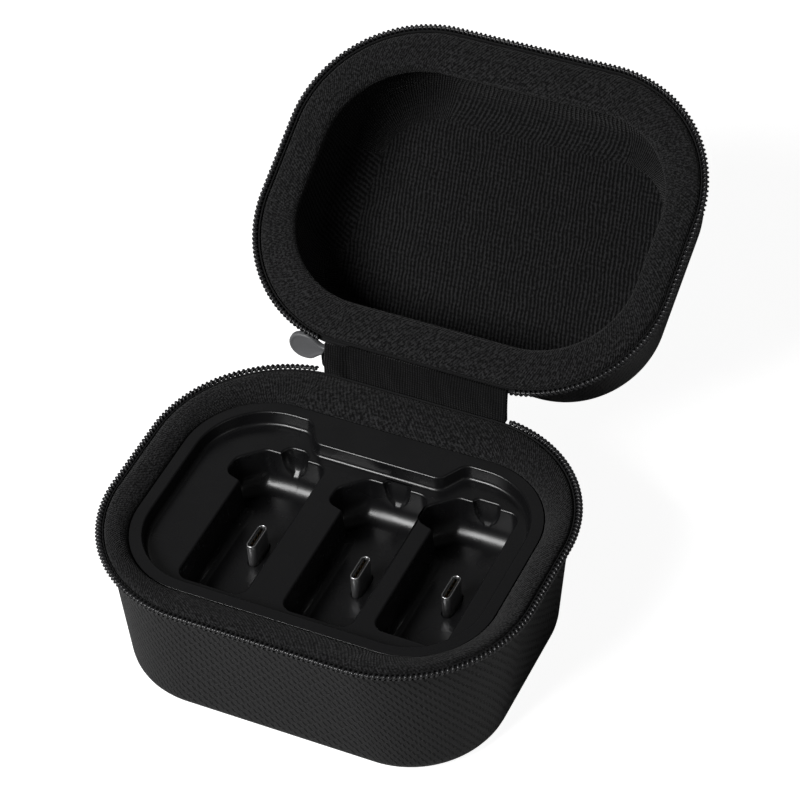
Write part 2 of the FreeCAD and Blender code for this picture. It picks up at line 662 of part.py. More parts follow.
chip("charge_controller", -29.0, 18.0, 5.0, 5.0, 0.9)
chip("power_inductor", -29.0, 9.5, 6.0, 6.0, 3.0)
chip("boost_converter", 29.0, -14.0, 4.0, 4.0, 0.9)
chip("storage_capacitor", 29.0, -20.0, 7.0, 4.0, 2.6)
block_body("battery_pad", -S["cell_half_x"] + 4, S["cell_half_x"] - 4, -S["cell_half_y"] + 3,
           S["cell_half_y"] - 3, pan_floor, pan_floor + S["pad_thick"])
cell_low = pan_floor + S["pad_thick"]
cell = new_body("battery_cell")
sketch = sketch_on(cell, "cell_plan", "XY_Plane", cell_low)
rounded(sketch, S["cell_half_x"], S["cell_half_y"], fixed(3))
pad(cell, sketch, S["cell_thick"])


def compound(label, shapes):
    """Separate solids of one kind, kept in one node."""
    group = doc.addObject("Part::Compound", label)
    group.Label = label
    group.Links = shapes
    parts.append(group)


def box(name, x, y, z, wide, deep, tall):
    """A primitive block from its low corner and size, each bound to the sheet."""
    thing = doc.addObject("Part::Box", name)
    for field, value in (("Length", wide), ("Width", deep), ("Height", tall)):
        setattr(thing, field, value.number)
        thing.setExpression(field, value.text)
    thing.Placement = FreeCAD.Placement(Vec(x.number, y.number, z.number), FreeCAD.Rotation())
    for field, value in (("x", x), ("y", y), ("z", z)):
        thing.setExpression("Placement.Base." + field, value.text)
    return thing


def rod(name, x, y, z, radius, tall):
    """A primitive upright cylinder, bound to the sheet."""
    thing = doc.addObject("Part::Cylinder", name)
    thing.Radius = radius.number
    thing.Height = tall.number
    thing.setExpression("Radius", radius.text)
    thing.setExpression("Height", tall.text)
    thing.Placement = FreeCAD.Placement(Vec(x.number, y.number, z.number), FreeCAD.Rotation())
    for field, value in (("x", x), ("y", y), ("z", z)):
        thing.setExpression("Placement.Base." + field, value.text)
    return thing


tab_low = cell_low + S["cell_thick"] / 2
compound("cell_tabs", [box(f"cell_tab_{side}", S["cell_half_x"], fixed(at), tab_low, fixed(0.3), fixed(4.0),
                           S["board_level"] - tab_low) for side, at in (("plus", -9.0), ("minus", 5.0))])
screws = []
for number, (x, y) in enumerate(SCREWS):
    shank = rod(f"shank_{number}", x, y, S["screw_seat"] - gap, S["screw_radius"], S["screw_length"])
    head = rod(f"head_{number}", x, y, S["screw_seat"] - S["screw_radius"] * 1.4, S["screw_head"],
               S["screw_radius"] * 1.4)
    screw = doc.addObject("Part::MultiFuse", f"screw_{number}")
    screw.Shapes = [shank, head]
    screws.append(screw)
compound("tray_screws", screws)

# ---------------------------------------------------------------- dock plugs
contacts = []
headers = []
plug_top = floor + S["plug_height"]
for name, left, front, _ in BAYS:
    x = left + S["plug_offset_x"]
    y = front + S["plug_offset_y"]
    shell = new_body(f"plug_shell_{name}")
    sketch = sketch_on(shell, f"plug_out_{name}", "XY_Plane", S["plug_foot"])
    stadium(sketch, S["plug_length"], S["plug_width"], x, y)
    pad(shell, sketch, plug_top - S["plug_foot"])
    doc.recompute()
    inner = S["plug_wall"] * 2
    sketch = sketch_on(shell, f"plug_in_{name}", "XY_Plane", S["plug_foot"])
    stadium(sketch, S["plug_length"] - inner, S["plug_width"] - inner, x, y)
    pocket(shell, sketch, plug_top - S["plug_foot"], reverse=True)
    insert = new_body(f"plug_insert_{name}")
    snug = inner + gap
    core_top = plug_top - S["plug_wall"]
    sketch = sketch_on(insert, f"core_{name}", "XY_Plane", S["plug_foot"])
    stadium(sketch, S["plug_length"] - snug, S["plug_width"] - snug, x, y)
    pad(insert, sketch, core_top - S["plug_foot"])
    doc.recompute()
    slot_half = S["plug_wall"] * 1.2
    sketch = sketch_on(insert, f"mouth_{name}", "XY_Plane", core_top)
    rectangle(sketch, x - slot_half, x + slot_half, y - S["plug_length"] * 0.4, y + S["plug_length"] * 0.4)
    pocket(insert, sketch, S["plug_height"] - 2)
    for side in (-1, 1):
        for step in range(4):
            along = y - S["plug_length"] * 0.3 + S["plug_length"] * 0.18 * step
            across = x + (slot_half - 0.06) * side - 0.05
            contacts.append(box(f"contact_{name}_{side + 1}_{step}", across, along, core_top - 3,
                                fixed(0.1), fixed(0.6), fixed(2.8)))
    card = S["plug_length"]
    block_body(f"plug_board_{name}", x - card * 0.8, x + card * 0.8, y - card, y + card,
               S["plug_foot"] - S["board_wall"], S["plug_foot"])
    headers.append(box(f"header_{name}", x - card * 0.3, y - card * 0.7, board_top, card * 0.6, card * 1.4,
                       S["plug_foot"] - S["board_wall"] - board_top))
compound("plug_contacts", contacts)
compound("board_headers", headers)

# ---------------------------------------------------------------- charging inlet in the back wall
bezel = new_body("inlet_bezel")


def along_back(body, name, face):
    """A sketch that faces the back, at a distance behind the foot centre."""
    return sketch_on(body, name, "XZ_Plane", -face)


sketch = along_back(bezel, "bezel_body", S["bezel_face"] - grow)
rounded(sketch, S["bezel_half_x"], S["bezel_half_z"], BEZEL_CORNER, NOUGHT, INLET_LEVEL)
pad(bezel, sketch, S["bezel_depth"])
lip = S["bezel_lip"]
sketch = along_back(bezel, "bezel_flange", S["bezel_face"])
rounded(sketch, S["bezel_half_x"] + lip, S["bezel_half_z"] + lip, BEZEL_CORNER + lip, NOUGHT, INLET_LEVEL)
pad(bezel, sketch, lip / 2)
doc.recompute()
sketch = along_back(bezel, "bezel_hollow", plate_in)
bezel_in = lip * 0.75
rounded(sketch, S["bezel_half_x"] - bezel_in, S["bezel_half_z"] - bezel_in, fixed(0.4), NOUGHT, INLET_LEVEL)
pocket(bezel, sketch, S["bezel_depth"], reverse=True)
inlet_x = S["inlet_x"]
sketch = along_back(bezel, "bezel_mouth", S["bezel_face"])
spare = grow * 2
rounded(sketch, (S["inlet_length"] + spare) / 2, (S["inlet_width"] + spare) / 2,
        (S["inlet_width"] + spare) / 2 - 0.02, inlet_x, INLET_LEVEL)
pocket(bezel, sketch, S["bezel_depth"], reverse=True)
sketch = along_back(bezel, "bezel_light", S["bezel_face"])
circle(sketch, S["light_x"], INLET_LEVEL, S["light_radius"] + gap, "light")
pocket(bezel, sketch, S["bezel_depth"], reverse=True)

inlet = new_body("inlet_shell")
mouth = S["bezel_face"] - grow
sketch = along_back(inlet, "inlet_out", mouth)
rounded(sketch, S["inlet_length"] / 2, S["inlet_width"] / 2, S["inlet_width"] / 2 - 0.02, inlet_x, INLET_LEVEL)
pad(inlet, sketch, S["inlet_depth"])
doc.recompute()
sketch = along_back(inlet, "inlet_in", mouth)
inner = S["plug_wall"]
rounded(sketch, S["inlet_length"] / 2 - inner, S["inlet_width"] / 2 - inner, S["inlet_width"] / 2 - inner - 0.02,
        inlet_x, INLET_LEVEL)
pocket(inlet, sketch, S["inlet_depth"] - 1, reverse=True)
tongue = new_body("inlet_tongue")
sketch = along_back(tongue, "tongue_face", mouth - 0.8)
thin = S["inlet_width"] * 0.11
wide = S["inlet_length"] * 0.37
rectangle(sketch, inlet_x - wide, inlet_x + wide, INLET_LEVEL - thin, INLET_LEVEL + thin)
pad(tongue, sketch, S["inlet_depth"] - 1.85)

light = new_body("status_light_pipe")
sketch = along_back(light, "light_face", S["bezel_face"] + gap)
circle(sketch, S["light_x"], INLET_LEVEL, S["light_radius"], "pipe")
light_length = S["inlet_depth"] * 0.8
pad(light, sketch, light_length)
led_front = S["bezel_face"] - light_length
block_body("status_led", S["light_x"] - 1.5, S["light_x"] + 1.5, led_front - 1, led_front - gap, board_top,
           board_top + 2.2)

# ---------------------------------------------------------------- zip slider and pull tab
slider = new_body("zip_slider")
slider_mid = S["slider_low"] + S["slider_height"] / 2
sketch = sketch_on(slider, "slider_plate", "XZ_Plane", -(S["slider_front"] + S["slider_thick"]))
half_x = S["slider_length"] / 2
half_z = S["slider_height"] / 2
rounded(sketch, half_x, half_z, half_z * 0.6, S["slider_left"] + half_x, slider_mid)
pad(slider, sketch, S["slider_thick"])
pin_y = S["slider_front"] + S["slider_thick"] + S["pin_radius"] * 2.3
post = S["pin_radius"] * 1.6
sleeve_half = S["tab_neck"]
post_back = pin_y + S["pin_radius"]
post_inner = sleeve_half + grow / 2
for tag, low in (("low", S["tab_level"] - post_inner - post), ("high", S["tab_level"] + post_inner)):
    sketch = sketch_on(slider, f"slider_post_{tag}", "XY_Plane", low)
    rectangle(sketch, S["tab_pivot_x"] - S["pin_radius"], S["tab_pivot_x"] + S["pin_radius"],
              S["slider_front"] + S["slider_thick"] / 2, post_back)
    pad(slider, sketch, post)
sketch = sketch_on(slider, "slider_bar", "XY_Plane", S["tab_level"] - post_inner - post / 2)
circle(sketch, S["tab_pivot_x"], pin_y, S["pin_radius"], "bar")
pad(slider, sketch, (post_inner + post / 2) * 2)

tab = new_body("zip_pull_tab")
tab_front = pin_y - S["tab_thick"] / 2
tab_back = tab_front + S["tab_thick"]
head_x = S["tab_pivot_x"] - S["tab_reach"]
sketch = sketch_on(tab, "tab_head", "XZ_Plane", -tab_back)
circle(sketch, head_x, S["tab_level"], S["tab_head"], "head")
pad(tab, sketch, S["tab_thick"])
sketch = sketch_on(tab, "tab_neck", "XZ_Plane", -tab_back)
rectangle(sketch, head_x, S["tab_pivot_x"], S["tab_level"] - sleeve_half, S["tab_level"] + sleeve_half)
pad(tab, sketch, S["tab_thick"])
sketch = sketch_on(tab, "tab_shoulder", "XZ_Plane", -tab_back)
shoulder = S["tab_head"] * 0.72
polygon(sketch, [(head_x, S["tab_level"] - shoulder), (head_x + S["tab_head"] * 1.5, S["tab_level"] - sleeve_half),
                 (head_x + S["tab_head"] * 1.5, S["tab_level"] + sleeve_half), (head_x, S["tab_level"] + shoulder)])
pad(tab, sketch, S["tab_thick"])
sketch = sketch_on(tab, "tab_sleeve", "XY_Plane", S["tab_level"] - sleeve_half)
circle(sketch, S["tab_pivot_x"], pin_y, S["tab_thick"] / 2, "sleeve")
pad(tab, sketch, sleeve_half * 2)
doc.recompute()
sketch = sketch_on(tab, "tab_bore", "XY_Plane", S["tab_level"] - sleeve_half)
circle(sketch, S["tab_pivot_x"], pin_y, S["pin_radius"] + S["pin_gap"], "bore")
pocket(tab, sketch, sleeve_half * 2, reverse=True)

# ---------------------------------------------------------------- check and write
doc.recompute()
faults = [thing.Label for thing in doc.Objects if "Invalid" in thing.State or "Error" in thing.State]
for node in parts:
    shape = node.Shape
    if shape.isNull() or not shape.isValid() or not shape.Solids:
        faults.append(node.Label)
if faults:
    raise SystemExit("failed: " + ", ".join(faults))
os.makedirs("parts", exist_ok=True)
for node in parts:
    node.Shape.exportStep(f"parts/{node.Label}.step")
print(len(parts), "nodes")
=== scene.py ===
import json
import math

import bmesh
import bpy
import numpy as np
from mathutils import Matrix, Vector
from mathutils.geometry import tessellate_polygon


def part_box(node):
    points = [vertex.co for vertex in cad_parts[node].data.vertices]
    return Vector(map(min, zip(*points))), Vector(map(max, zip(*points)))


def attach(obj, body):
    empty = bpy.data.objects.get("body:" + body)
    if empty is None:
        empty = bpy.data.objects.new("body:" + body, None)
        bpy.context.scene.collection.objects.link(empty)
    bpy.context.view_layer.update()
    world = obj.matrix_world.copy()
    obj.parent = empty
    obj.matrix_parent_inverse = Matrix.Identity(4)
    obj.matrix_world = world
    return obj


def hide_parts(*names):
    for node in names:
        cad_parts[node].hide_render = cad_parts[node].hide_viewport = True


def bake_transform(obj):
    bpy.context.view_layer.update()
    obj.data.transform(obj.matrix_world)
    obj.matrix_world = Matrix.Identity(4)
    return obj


# A zippered carrying case that stands open, with a moulded charging tray in its base.
# Everything is in metres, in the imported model's frame; MM turns a drawing size into metres.
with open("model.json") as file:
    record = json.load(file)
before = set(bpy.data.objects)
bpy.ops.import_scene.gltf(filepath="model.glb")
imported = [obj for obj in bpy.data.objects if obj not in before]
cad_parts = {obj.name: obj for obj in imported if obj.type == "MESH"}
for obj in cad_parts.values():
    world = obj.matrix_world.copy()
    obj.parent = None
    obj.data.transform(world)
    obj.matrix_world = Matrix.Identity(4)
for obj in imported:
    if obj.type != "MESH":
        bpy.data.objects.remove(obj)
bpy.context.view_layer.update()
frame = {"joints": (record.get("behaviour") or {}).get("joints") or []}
MM = 0.001


# ---------------------------------------------------------------- view and light
# A long lens looks down on the case from its front right. One large softbox stands in
# front, to the left and above; the room is a pale even fill, and the sweep is white.
scene = bpy.context.scene
scene.view_settings.view_transform = "Standard"

VIEW_AZIMUTH = 27.99
VIEW_ELEVATION = 44.04
VIEW_ROLL = -4.47
VIEW_DISTANCE = 0.8667
VIEW_AIM = Vector((0.0066, 0.0272, 0.0615))
LENS = 154.6

camera = bpy.data.objects.new("camera", bpy.data.cameras.new("camera"))
scene.collection.objects.link(camera)
camera.data.lens = LENS
turn = (Matrix.Rotation(math.radians(VIEW_AZIMUTH), 4, "Z")
        @ Matrix.Rotation(math.radians(90 - VIEW_ELEVATION), 4, "X")
        @ Matrix.Rotation(math.radians(VIEW_ROLL), 4, "Z"))
camera.matrix_world = Matrix.Translation(VIEW_AIM + turn.col[2].to_3d() * VIEW_DISTANCE) @ turn
camera.data.clip_start = 0.01
scene.camera = camera


def softbox(name, direction, distance, wide, tall, watts):
    """A rectangular lamp at a distance from the case along a direction, turned to face it."""
    lamp = bpy.data.lights.new(name, "AREA")
    lamp.shape = "RECTANGLE"
    lamp.size, lamp.size_y, lamp.energy = wide, tall, watts
    holder = bpy.data.objects.new(name, lamp)
    scene.collection.objects.link(holder)
    away = Vector(direction).normalized()
    turned = away.to_track_quat("Z", "Y").to_matrix().to_4x4()
    holder.matrix_world = Matrix.Translation(VIEW_AIM + away * distance) @ turned


softbox("key_softbox", (-0.34, -0.69, 0.63), 0.9, 0.50, 0.34, 9.0)
softbox("right_softbox", (0.93, -0.25, 0.30), 1.0, 0.5, 0.6, 0.5)
softbox("back_softbox", (-0.35, 0.75, 0.62), 1.1, 0.8, 0.5, 0.2)


class Wiring:
    """Adds nodes to one tree; a value may be a plain number or another node's socket."""

    def __init__(self, tree):
        self.tree = tree

    def add(self, kind, inputs=None, **settings):
        node = self.tree.nodes.new(kind)
        for key, value in settings.items():
            setattr(node, key, value)
        for key, value in (inputs or {}).items():
            if isinstance(value, bpy.types.NodeSocket):
                self.tree.links.new(value, node.inputs[key])
            else:
                node.inputs[key].default_value = value
        return node

    def math(self, operation, first, second=0.0):
        return self.add("ShaderNodeMath", {0: first, 1: second}, operation=operation).outputs[0]

    def vector(self, operation, first, second=(0.0, 0.0, 0.0), output="Vector"):
        node = self.add("ShaderNodeVectorMath", {0: first, 1: second}, operation=operation)
        return node.outputs[output]

    def smooth(self, value, low, high, start=0.0, end=1.0):
        """Goes smoothly from start to end as value goes from low to high."""
        inputs = {"Value": value, "From Min": low, "From Max": high, "To Min": start, "To Max": end}
        return self.add("ShaderNodeMapRange", inputs, interpolation_type="SMOOTHSTEP").outputs[0]

    def noise(self, where, scale, detail=2.0, roughness=0.5):
        inputs = {"Vector": where, "Scale": scale, "Detail": detail, "Roughness": roughness}
        return self.add("ShaderNodeTexNoise", inputs).outputs["Fac"]

    def blend(self, share, first, second):
        """A colour between two, by share."""
        node = self.add("ShaderNodeMix", data_type="RGBA")
        for key, value in ((0, share), (6, first), (7, second)):
            if isinstance(value, bpy.types.NodeSocket):
                self.tree.links.new(value, node.inputs[key])
            else:
                node.inputs[key].default_value = value
        return node.outputs[2]


world = bpy.data.worlds.new("studio")
scene.world = world
world.use_nodes = True
world.node_tree.nodes.clear()
room = Wiring(world.node_tree)
ROOM_FILL = 0.022
ROOM_GLOSS = 0.045
path = room.add("ShaderNodeLightPath").outputs
seen = room.math("MAXIMUM", path["Is Camera Ray"], path["Is Transmission Ray"])
gloss = room.math("MULTIPLY", path["Is Glossy Ray"], ROOM_GLOSS)
strength = room.math("MAXIMUM", room.math("MAXIMUM", seen, gloss), ROOM_FILL)
sky = room.add("ShaderNodeBackground", {"Color": (1, 1, 1, 1), "Strength": strength})
room.add("ShaderNodeOutputWorld", {"Surface": sky.outputs[0]})

FLOOR_SIZE = 6.0
FLOOR_GLOW = 0.93
FLOOR_WHITE = (0.5, 0.5, 0.5, 1)
floor_mesh = bpy.data.meshes.new("floor")
reach = FLOOR_SIZE / 2
floor_corners = [(-reach, -reach, 0), (reach, -reach, 0), (reach, reach, 0), (-reach, reach, 0)]
floor_mesh.from_pydata(floor_corners, [], [(0, 1, 2, 3)])
floor = bpy.data.objects.new("floor", floor_mesh)
scene.collection.objects.link(floor)
paper = bpy.data.materials.new("white_paper")
paper.use_nodes = True
paper.node_tree.nodes.clear()
sweep = Wiring(paper.node_tree)
path = sweep.add("ShaderNodeLightPath").outputs
seen = sweep.math("MAXIMUM", path["Is Camera Ray"], path["Is Transmission Ray"])
glow = sweep.add("ShaderNodeEmission", {"Strength": sweep.math("MULTIPLY", seen, FLOOR_GLOW)})
lit = sweep.add("ShaderNodeBsdfDiffuse", {"Color": FLOOR_WHITE})
both = sweep.add("ShaderNodeAddShader", {0: glow.outputs[0], 1: lit.outputs[0]})
sweep.add("ShaderNodeOutputMaterial", {"Surface": both.outputs[0]})
floor_mesh.materials.append(paper)


# ---------------------------------------------------------------- leathercloth skins
# Black polyurethane leathercloth, embossed with short slanted strokes in staggered columns,
# bonded to a moulded foam shell. Each half is a leaning cup with a rounded closed end.
low_coil, high_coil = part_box("base_zip_coil")
skin_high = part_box("base_skin")[1]
bezel_low, bezel_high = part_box("inlet_bezel")
hinge = [joint for joint in frame["joints"] if joint["name"] == "lid_hinge"][0]
HINGE_Y, HINGE_Z = hinge["pos_m"][1], hinge["pos_m"][2]
OPEN_ANGLE = -math.radians(hinge["range_deg"][0])

ZIP_HALF_X = high_coil[0]
ZIP_HALF_Y = (high_coil[1] - low_coil[1]) / 2
ZIP_MID_Y = (high_coil[1] + low_coil[1]) / 2
ZIP_CORNER = 36.6 * MM
MATE = high_coil[2] + 0.05 * MM
BASE_EDGE = skin_high[2]
LID_EDGE = 2 * MATE - BASE_EDGE
LID_TOP = MATE + 31.5 * MM
EDGE_STEP = 3.0 * MM
WALL_LEAN = 5.0 * MM
EDGE_CORNER = ZIP_CORNER - EDGE_STEP
FOOT_CORNER = 24.4 * MM
FOOT_ROUND = 5.0 * MM
SKIN_WALL = 1.0 * MM
SKIN_STEPS = 364
SKIN_ROWS = 30
LIP_ROUND = 0.15 * MM
STROKE_COLUMNS = 266
STROKE_COLUMN = 1.37 * MM

STRAIGHT_X = ZIP_HALF_X - ZIP_CORNER
STRAIGHT_Y = ZIP_HALF_Y - ZIP_CORNER
QUARTER = ZIP_CORNER * math.pi / 2
ROUND_KNOTS = np.cumsum([0, STRAIGHT_X, QUARTER, 2 * STRAIGHT_Y, QUARTER, 2 * STRAIGHT_X, QUARTER,
                         2 * STRAIGHT_Y, QUARTER, STRAIGHT_X])
ROUND_FACING = (90, 90, 180, 180, 270, 270, 360, 360, 450, 450)
ZIP_LENGTH = ROUND_KNOTS[-1]


def round_rect(along, half_x, half_y, corner, mid_y):
    """Points round a rounded rectangle, anticlockwise from the middle of its back.

    along is the share of the way round the zip line; each straight and each quarter turn takes
    the same share whatever the size. A point is the corner circle's centre, which slides along
    the straights, plus the corner radius in the direction of the outward normal. Sizes may be
    columns, which give one row of points each.
    """
    distance = along * ZIP_LENGTH
    centre_x = np.interp(distance, ROUND_KNOTS, [0, -1, -1, -1, -1, 1, 1, 1, 1, 0])
    centre_y = np.interp(distance, ROUND_KNOTS, [1, 1, 1, -1, -1, -1, -1, 1, 1, 1])
    facing = np.radians(np.interp(distance, ROUND_KNOTS, ROUND_FACING))
    x = (half_x - corner) * centre_x + corner * np.cos(facing)
    y = mid_y + (half_y - corner) * centre_y + corner * np.sin(facing)
    return x, y


def zip_offset(along, inset):
    """Points at a distance inside the zip line."""
    return round_rect(along, ZIP_HALF_X - inset, ZIP_HALF_Y - inset, ZIP_CORNER - inset, ZIP_MID_Y)


def opened(points):
    """Turns points of the closed lid about the hinge to where the lid stands open."""
    y = points[..., 1] - HINGE_Y
    z = points[..., 2] - HINGE_Z
    cosine, sine = math.cos(OPEN_ANGLE), math.sin(OPEN_ANGLE)
    return np.stack([points[..., 0], HINGE_Y + y * cosine + z * sine, HINGE_Z - y * sine + z * cosine], -1)


class Pattern:
    """Grids and flat faces cut for one mesh, each corner with its own flat coordinates."""

    def __init__(self):
        self.points, self.faces, self.flats, self.count = [], [], [], 0

    def grid(self, points, flat=None, looped=False, skip=None):
        """Quads over rows of points, each row a ring; looped joins the last row to the first."""
        rows, columns = points.shape[:2]
        across = np.arange(columns)
        down = np.arange(rows if looped else rows - 1)
        down, across = np.meshgrid(down, across, indexing="ij")
        if skip is not None:
            kept = ~skip[down, across]
            down, across = down[kept], across[kept]
        corners = [(down, across), (down, across + 1), (down + 1, across + 1), (down + 1, across)]
        faces = [(r % rows) * columns + c % columns + self.count for r, c in corners]
        self.faces += np.stack(faces, -1).reshape(-1, 4).tolist()
        if flat is None:
            flat = np.zeros((rows + 1, columns + 1, 2))
        self.flats.append(np.stack([flat[r, c] for r, c in corners], -2).reshape(-1, 2))
        self.points.append(points.reshape(-1, 3))
        self.count += rows * columns

    def face(self, rings, level_axis=2):
        """A flat face bounded by the first ring, with the other rings as holes in it."""
        loops = [[Vector(np.delete(p, level_axis)).to_3d() for p in ring] for ring in rings]
        points = np.concatenate(rings)
        for triangle in tessellate_polygon(loops):
            self.faces.append([index + self.count for index in triangle])
            self.flats.append(np.delete(points[list(triangle)], level_axis, axis=1))
        self.points.append(points)
        self.count += len(points)

    def make(self, name, material, body, slot, *nodes):
        """Sews the pieces into one closed mesh that rides on a body and stands for CAD nodes."""
        mesh = bpy.data.meshes.new(name)
        mesh.from_pydata(np.concatenate(self.points).tolist(), [], self.faces)
        mesh.uv_layers.new(name="flat").data.foreach_set("uv", np.concatenate(self.flats).ravel())
        cloth = bmesh.new()
        cloth.from_mesh(mesh)
        bmesh.ops.remove_doubles(cloth, verts=cloth.verts, dist=0.002 * MM)
        bmesh.ops.recalc_face_normals(cloth, faces=cloth.faces)
        cloth.to_mesh(mesh)
        cloth.free()
        mesh.shade_smooth()
        mesh.materials.append(material)
        piece = bpy.data.objects.new(name, mesh)
        scene.collection.objects.link(piece)
        if body:
            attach(piece, body)
        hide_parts(*nodes)
        return piece


def shell_rows(edge, end, inset, steps, radius):
    """A shell face from its edge to its closed end: sizes, level and length, one row each.

    The wall leans in with depth; over the last stretch the extra inset is R(1 - cos a) and the
    distance to the end is R(1 - sin a), a quarter turn.
    """
    way = 1 if end > edge else -1
    depth = abs(end - edge)
    deep = depth - inset
    wall = np.linspace(0, deep - radius, steps)
    angle = np.radians(np.linspace(0, 90, 9))[1:]
    down = np.concatenate([wall, deep - radius + radius * np.sin(angle), [deep]])
    more = np.concatenate([wall * 0, radius * (1 - np.cos(angle)), [radius + 0.4 * MM]])
    share = down / depth
    shrink = EDGE_STEP + WALL_LEAN * share + inset + more
    corner = EDGE_CORNER + (FOOT_CORNER - EDGE_CORNER) * share - inset - more
    length = np.concatenate([[0], np.cumsum(np.hypot(np.diff(down), np.diff(more)))])
    column = (slice(None), None)
    sizes = [(ZIP_HALF_X - shrink)[column], (ZIP_HALF_Y - shrink)[column], corner[column],
             (ZIP_MID_Y * (1 - share))[column]]
    return sizes, (edge + down * way)[column], length[column]


def shell_face(along, edge, end, inset, steps, radius):
    """The points of a shell face, and the length of wall above each row."""
    sizes, level, length = shell_rows(edge, end, inset, steps, radius)
    x, y = round_rect(along, *sizes)
    return np.stack([x, y, level + 0 * x], -1), length


def border(block):
    """The points once round the border of a block of a grid."""
    return np.concatenate([block[0, :-1], block[:-1, -1], block[-1, :0:-1], block[:0:-1, 0]])


def as_built(points):
    """The base is modelled where it stands."""
    return points


def skin(name, edge, end, place, material, body, window=None):
    """A cup with an outer and an inner face, sewn at its edge; window cuts both faces."""
    along = (np.arange(SKIN_STEPS) / SKIN_STEPS + 0.5) % 1
    outer, length = shell_face(along, edge, end, 0, SKIN_ROWS, FOOT_ROUND)
    inner, _ = shell_face(along, edge, end, SKIN_WALL, SKIN_ROWS, FOOT_ROUND - SKIN_WALL)
    lip = (outer[:1] + inner[:1]) / 2 + np.array([0, 0, LIP_ROUND if end < edge else -LIP_ROUND])
    points = np.concatenate([outer[::-1], lip, inner])
    lengths = np.concatenate([length[::-1], length[:1] - 0.5 * MM, -length - MM, length[-1:]])
    around = np.arange(SKIN_STEPS + 1) / SKIN_STEPS * STROKE_COLUMNS * STROKE_COLUMN
    flat = np.stack(np.broadcast_arrays(around[None, :], lengths), -1)
    skip = np.zeros(points.shape[:2], bool)
    pattern = Pattern()
    if window:
        half_wide, middle_z, half_tall = window
        rows = np.flatnonzero(abs(outer[::-1][:, 0, 2] - middle_z) < half_tall)
        columns = np.flatnonzero((abs(outer[0, :, 0]) < half_wide) & (outer[0, :, 1] > 0))
        block = (slice(rows[0], rows[-1] + 1), slice(columns[0], columns[-1] + 1))
        quads = slice(columns[0], columns[-1])
        skip[rows[0]:rows[-1], quads] = True
        skip[::-1][rows[0] + 1:rows[-1] + 1, quads] = True
        pattern.grid(place(np.stack([border(points[block]), border(points[::-1][block])])))
    pattern.grid(place(points), flat, skip=skip)
    pattern.face([place(points[0])])
    pattern.face([place(points[-1])])
    pattern.make(name, material, body, "leathercloth", body + "_skin")


# the strokes, in millimetres from the middle of their cell
STROKE_ROW = 2.85
STROKE_LEAN = ((-0.27, 0.66), (0.27, -0.46))
STROKE_HOOK = ((0.27, -0.46), (0.40, -0.28))
STROKE_CORE, STROKE_REACH = 0.17, 0.40
HOOK_THINNER = 0.07
STROKE_WANDER = 0.35


def stroke_distance(wiring, where, start, end):
    """Distance from a point to a straight stroke between two ends."""
    run = (end[0] - start[0], end[1] - start[1], 0.0)
    offset = wiring.vector("SUBTRACT", where, (start[0], start[1], 0.0))
    dot = wiring.vector("DOT_PRODUCT", offset, run, "Value")
    share = wiring.math("DIVIDE", dot, run[0] ** 2 + run[1] ** 2)
    held = wiring.add("ShaderNodeClamp", {"Value": share}).outputs[0]
    scaled = wiring.add("ShaderNodeVectorMath", {0: run, "Scale": held}, operation="SCALE").outputs[0]
    return wiring.vector("LENGTH", wiring.vector("SUBTRACT", offset, scaled), output="Value")


def effect(name, inputs, outputs):
    """An empty node group with vector or number inputs and number outputs."""
    group = bpy.data.node_groups.new(name, "ShaderNodeTree")
    for socket, default in inputs.items():
        kind = "NodeSocketVector" if default is None else "NodeSocketFloat"
        made = group.interface.new_socket(socket, in_out="INPUT", socket_type=kind)
        if default is not None:
            made.default_value = default
    for socket in outputs:
        group.interface.new_socket(socket, in_out="OUTPUT", socket_type="NodeSocketFloat")
    wiring = Wiring(group)
    return group, wiring, wiring.add("NodeGroupInput").outputs


def embossed_strokes():
    """Strokes: 1 in the pressed strokes. Grain: fine leather grain. Works on millimetres."""
    group, w, given = effect("embossed_strokes", {"Millimetres": None}, ["Strokes", "Grain"])
    axes = w.add("ShaderNodeSeparateXYZ", {0: given["Millimetres"]}).outputs
    column = w.math("DIVIDE", axes[0], STROKE_COLUMN / MM)
    number = w.math("FLOOR", column)
    stagger = w.math("MULTIPLY", w.math("FLOORED_MODULO", number, 2.0), 0.5)
    row = w.math("ADD", w.math("DIVIDE", axes[1], -STROKE_ROW), stagger)
    in_cell_x = w.math("MULTIPLY", w.math("SUBTRACT", w.math("FRACT", column), 0.5), STROKE_COLUMN / MM)
    in_cell_y = w.math("MULTIPLY", w.math("SUBTRACT", w.math("FRACT", row), 0.5), STROKE_ROW)
    wobble = w.math("MULTIPLY", w.math("SUBTRACT", w.noise(given["Millimetres"], 0.5), 0.5), STROKE_WANDER)
    where = w.add("ShaderNodeCombineXYZ", {0: w.math("ADD", in_cell_x, wobble), 1: in_cell_y}).outputs[0]
    lean = stroke_distance(w, where, *STROKE_LEAN)
    hook = w.math("ADD", stroke_distance(w, where, *STROKE_HOOK), HOOK_THINNER)
    strokes = w.smooth(w.math("MINIMUM", lean, hook), STROKE_CORE, STROKE_REACH, 1.0, 0.0)
    grain = w.noise(given["Millimetres"], 2.6, 3.0, 0.6)
    w.add("NodeGroupOutput", {"Strokes": strokes, "Grain": grain})
    return group


def finish_material(name, base, roughness, **uniform):
    """A material with its Principled shader; uniform values sit on the shader's own sockets."""
    material = bpy.data.materials.new(name)
    material.use_nodes = True
    material.node_tree.nodes.clear()
    wiring = Wiring(material.node_tree)
    inputs = {"Base Color": (*base, 1), "Roughness": roughness}
    inputs.update({key.replace("_", " "): value for key, value in uniform.items()})
    shader = wiring.add("ShaderNodeBsdfPrincipled", inputs)
    wiring.add("ShaderNodeOutputMaterial", {"Surface": shader.outputs[0]})
    return material, wiring, shader


